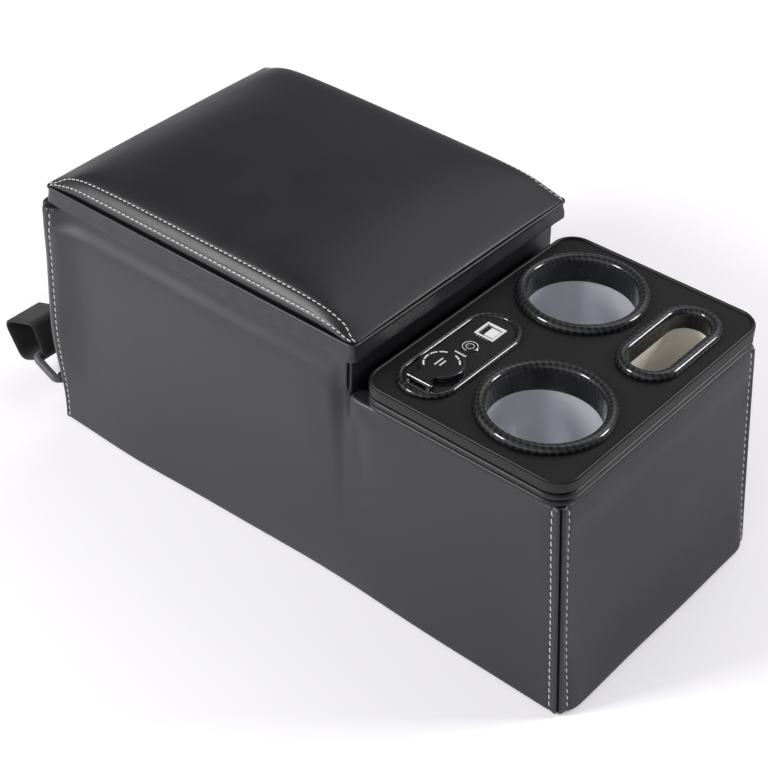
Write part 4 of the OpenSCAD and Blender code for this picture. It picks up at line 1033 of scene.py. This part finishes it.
def softened(line, times):
    """Cuts the corners of an open line again and again, which turns them into curves."""
    line = np.asarray(line, float)
    for _ in range(times):
        a = line[:-1] * 0.75 + line[1:] * 0.25
        b = line[:-1] * 0.25 + line[1:] * 0.75
        line = np.vstack([line[:1], np.stack([a, b], 1).reshape(-1, 2), line[-1:]])
    return line


ring_middle, ring_lean, bar_r = np.array([238.0, 27.0]), math.radians(25), 3.0
to_far_bar = np.round(12.0 * np.array([math.cos(ring_lean), math.sin(ring_lean)]), 3)
far_bar, near_bar = ring_middle + to_far_bar, ring_middle - to_far_bar
bend_middles = far_bar + [(0, 0), (8, 18.4), (28.6, 9), (19, -7)]
bend_radii = np.array([4.9, 5.0, 7.0, 7.0])
angles = np.linspace(0, 2 * math.pi, 361)
away = np.stack([np.cos(angles), np.sin(angles)], -1)
outermost = (bend_middles @ away.T + bend_radii[:, None]).argmax(0)
loop_line = bend_middles[outermost] + (bend_radii[outermost] - web_t / 2)[:, None] * away
loop_web = web_ribbon("strap_loop_webbing", resampled(loop_line, 2.2)[:-1], True)
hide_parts("strap_loop")
tab_y, wrap = 214.5, bar_r + 0.3 + web_t / 2
tab_line = np.vstack([[(tab_y + 2.4, 7.2), (tab_y + 2.4, 14), (tab_y + 2.4, 20.6), (tab_y + 5.5, 21.0)],
                      arc_line(near_bar, wrap, -130, 130, 14),
                      [(tab_y + 5.0, 22.9), (tab_y + 0.8, 22.9), (tab_y + 0.8, 14), (tab_y + 0.8, 7.2)]])
tab_web = web_ribbon("strap_tab_webbing", resampled(softened(tab_line, 2), 1.2), False)
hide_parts("strap_tab")

# Studio
# White paper under and behind the part, one soft lamp low at its rear left, one low at its
# right front, and a camera at the photograph's angle.
paper, tree, shader = new_finish("white_paper", (0.87, 0.858, 0.885), 0.9, Specular_IOR_Level=0.1)
bpy.ops.mesh.primitive_plane_add(size=30)
floor = bpy.context.active_object
floor.name = "studio_floor"
floor.data.materials.append(paper)
seen = add_node(tree, "ShaderNodeLightPath")
parts = add_node(tree, "ShaderNodeSeparateXYZ")
tree.links.new(object_place(tree), parts.inputs["Vector"])
behind = math_node(tree, "SUBTRACT", parts.outputs["Y"], parts.outputs["X"])


def soft_range(tree, value, start, end, low, high):
    """A value that runs smoothly from low to high as value goes from start to end."""
    spread = add_node(tree, "ShaderNodeMapRange", {"From Min": start, "From Max": end, "To Min": low,
                                                   "To Max": high}, interpolation_type="SMOOTHSTEP")
    tree.links.new(value, spread.inputs["Value"])
    return spread.outputs["Result"]


# Besides its even white for the camera, the paper glows for glossy and transmission rays. That glow runs from
# nothing at its front right to 0.42 at its rear left. It is a painted reflection of a bright backdrop, seen only
# in the part's reflections.
painted_reflection_glow = soft_range(tree, behind, -0.5, 0.5, 0.0, 0.42)
glow = add_node(tree, "ShaderNodeEmission", {"Color": (1, 1, 1, 1)})
mirrored = math_node(tree, "MAXIMUM", seen.outputs["Is Glossy Ray"], seen.outputs["Is Transmission Ray"])
strength = math_node(tree, "ADD", math_node(tree, "MULTIPLY", seen.outputs["Is Camera Ray"], 0.24),
                     math_node(tree, "MULTIPLY", mirrored, painted_reflection_glow))
tree.links.new(strength, glow.inputs["Strength"])
total = add_node(tree, "ShaderNodeAddShader")
tree.links.new(shader.outputs[0], total.inputs[0])
tree.links.new(glow.outputs[0], total.inputs[1])
tree.links.new(total.outputs[0], tree.nodes["Material Output"].inputs["Surface"])

world = bpy.data.worlds.new("studio")
bpy.context.scene.world = world
world.use_nodes = True
tree = world.node_tree
sky = tree.nodes["Background"]
view = add_node(tree, "ShaderNodeTexCoord")
parts = add_node(tree, "ShaderNodeSeparateXYZ")
tree.links.new(view.outputs["Generated"], parts.inputs["Vector"])
leftward = math_node(tree, "ADD", math_node(tree, "MULTIPLY", parts.outputs["X"], -0.94),
                     math_node(tree, "MULTIPLY", parts.outputs["Y"], 0.34))
side_glow = soft_range(tree, leftward, -0.1, 0.9, 0.27, 1.35)
fade = soft_range(tree, parts.outputs["Z"], 0.1, 0.7, 1.0, 0.5)
rightward = math_node(tree, "ADD", math_node(tree, "MULTIPLY", parts.outputs["X"], 0.61),
                      math_node(tree, "MULTIPLY", parts.outputs["Z"], 0.79))
top_glow = soft_range(tree, rightward, 0.85, 1.0, 0.0, 1.2)
sky_strength = math_node(tree, "ADD", math_node(tree, "MULTIPLY", side_glow, fade), top_glow)
tree.links.new(sky_strength, sky.inputs["Strength"])
sky.inputs["Color"].default_value = (0.99, 0.97, 1.0, 1)
plain = add_node(tree, "ShaderNodeBackground", {"Color": (1, 1, 1, 1), "Strength": 1.0})
pick = add_node(tree, "ShaderNodeMixShader")
seen = add_node(tree, "ShaderNodeLightPath")
tree.links.new(seen.outputs["Is Camera Ray"], pick.inputs[0])
tree.links.new(sky.outputs[0], pick.inputs[1])
tree.links.new(plain.outputs[0], pick.inputs[2])
tree.links.new(pick.outputs[0], tree.nodes["World Output"].inputs["Surface"])


def put_up(name, data, place, side, back):
    """Puts up a lamp or camera at place, with its own right along side and its rear along back."""
    thing = bpy.data.objects.new(name, data)
    bpy.context.scene.collection.objects.link(thing)
    axes = np.column_stack([side, np.cross(back, side), back, place])
    thing.matrix_world = Matrix(np.vstack([axes, (0, 0, 0, 1)]).tolist())
    return thing


def soft_lamp(name, place, power):
    """A square area lamp, half a metre wide, at place in metres. It faces the part's middle."""
    data = bpy.data.lights.new(name, "AREA")
    data.shape, data.size, data.energy = "SQUARE", 0.5, power
    part_middle = (0, 0, 0.1)
    back = np.subtract(place, part_middle)
    back /= np.linalg.norm(back)
    side = np.cross((0, 0, 1), back)
    put_up(name, data, place, side / np.linalg.norm(side), back)


soft_lamp("left_rear_box", (-1.42, 0.82, 1.12), 26)
soft_lamp("right_front_box", (1.17, -1.22, 1.05), 19)

# The camera's angles are degrees: its heading from the part's own x axis, its dip below the
# horizon and its roll
camera_data = bpy.data.cameras.new("photo_camera")
camera_data.sensor_width, camera_data.lens = 36, 89.903
camera_data.shift_x, camera_data.shift_y = 0.01166, -0.01368
camera_data.clip_start, camera_data.clip_end = 0.01, 100
heading, dip, roll = np.radians([39.729, 37.970, -1.017])
ahead = np.array([math.cos(dip) * math.cos(heading), math.cos(dip) * math.sin(heading), -math.sin(dip)])
level_side = np.array([math.sin(heading), -math.cos(heading), 0])
side = level_side * math.cos(roll) + np.cross(ahead, level_side) * math.sin(roll)
camera = put_up("photo_camera", camera_data, (-0.77907, -0.63337, 0.87161), side, -ahead)
bpy.context.scene.camera = camera
bpy.context.scene.view_settings.view_transform = "Standard"
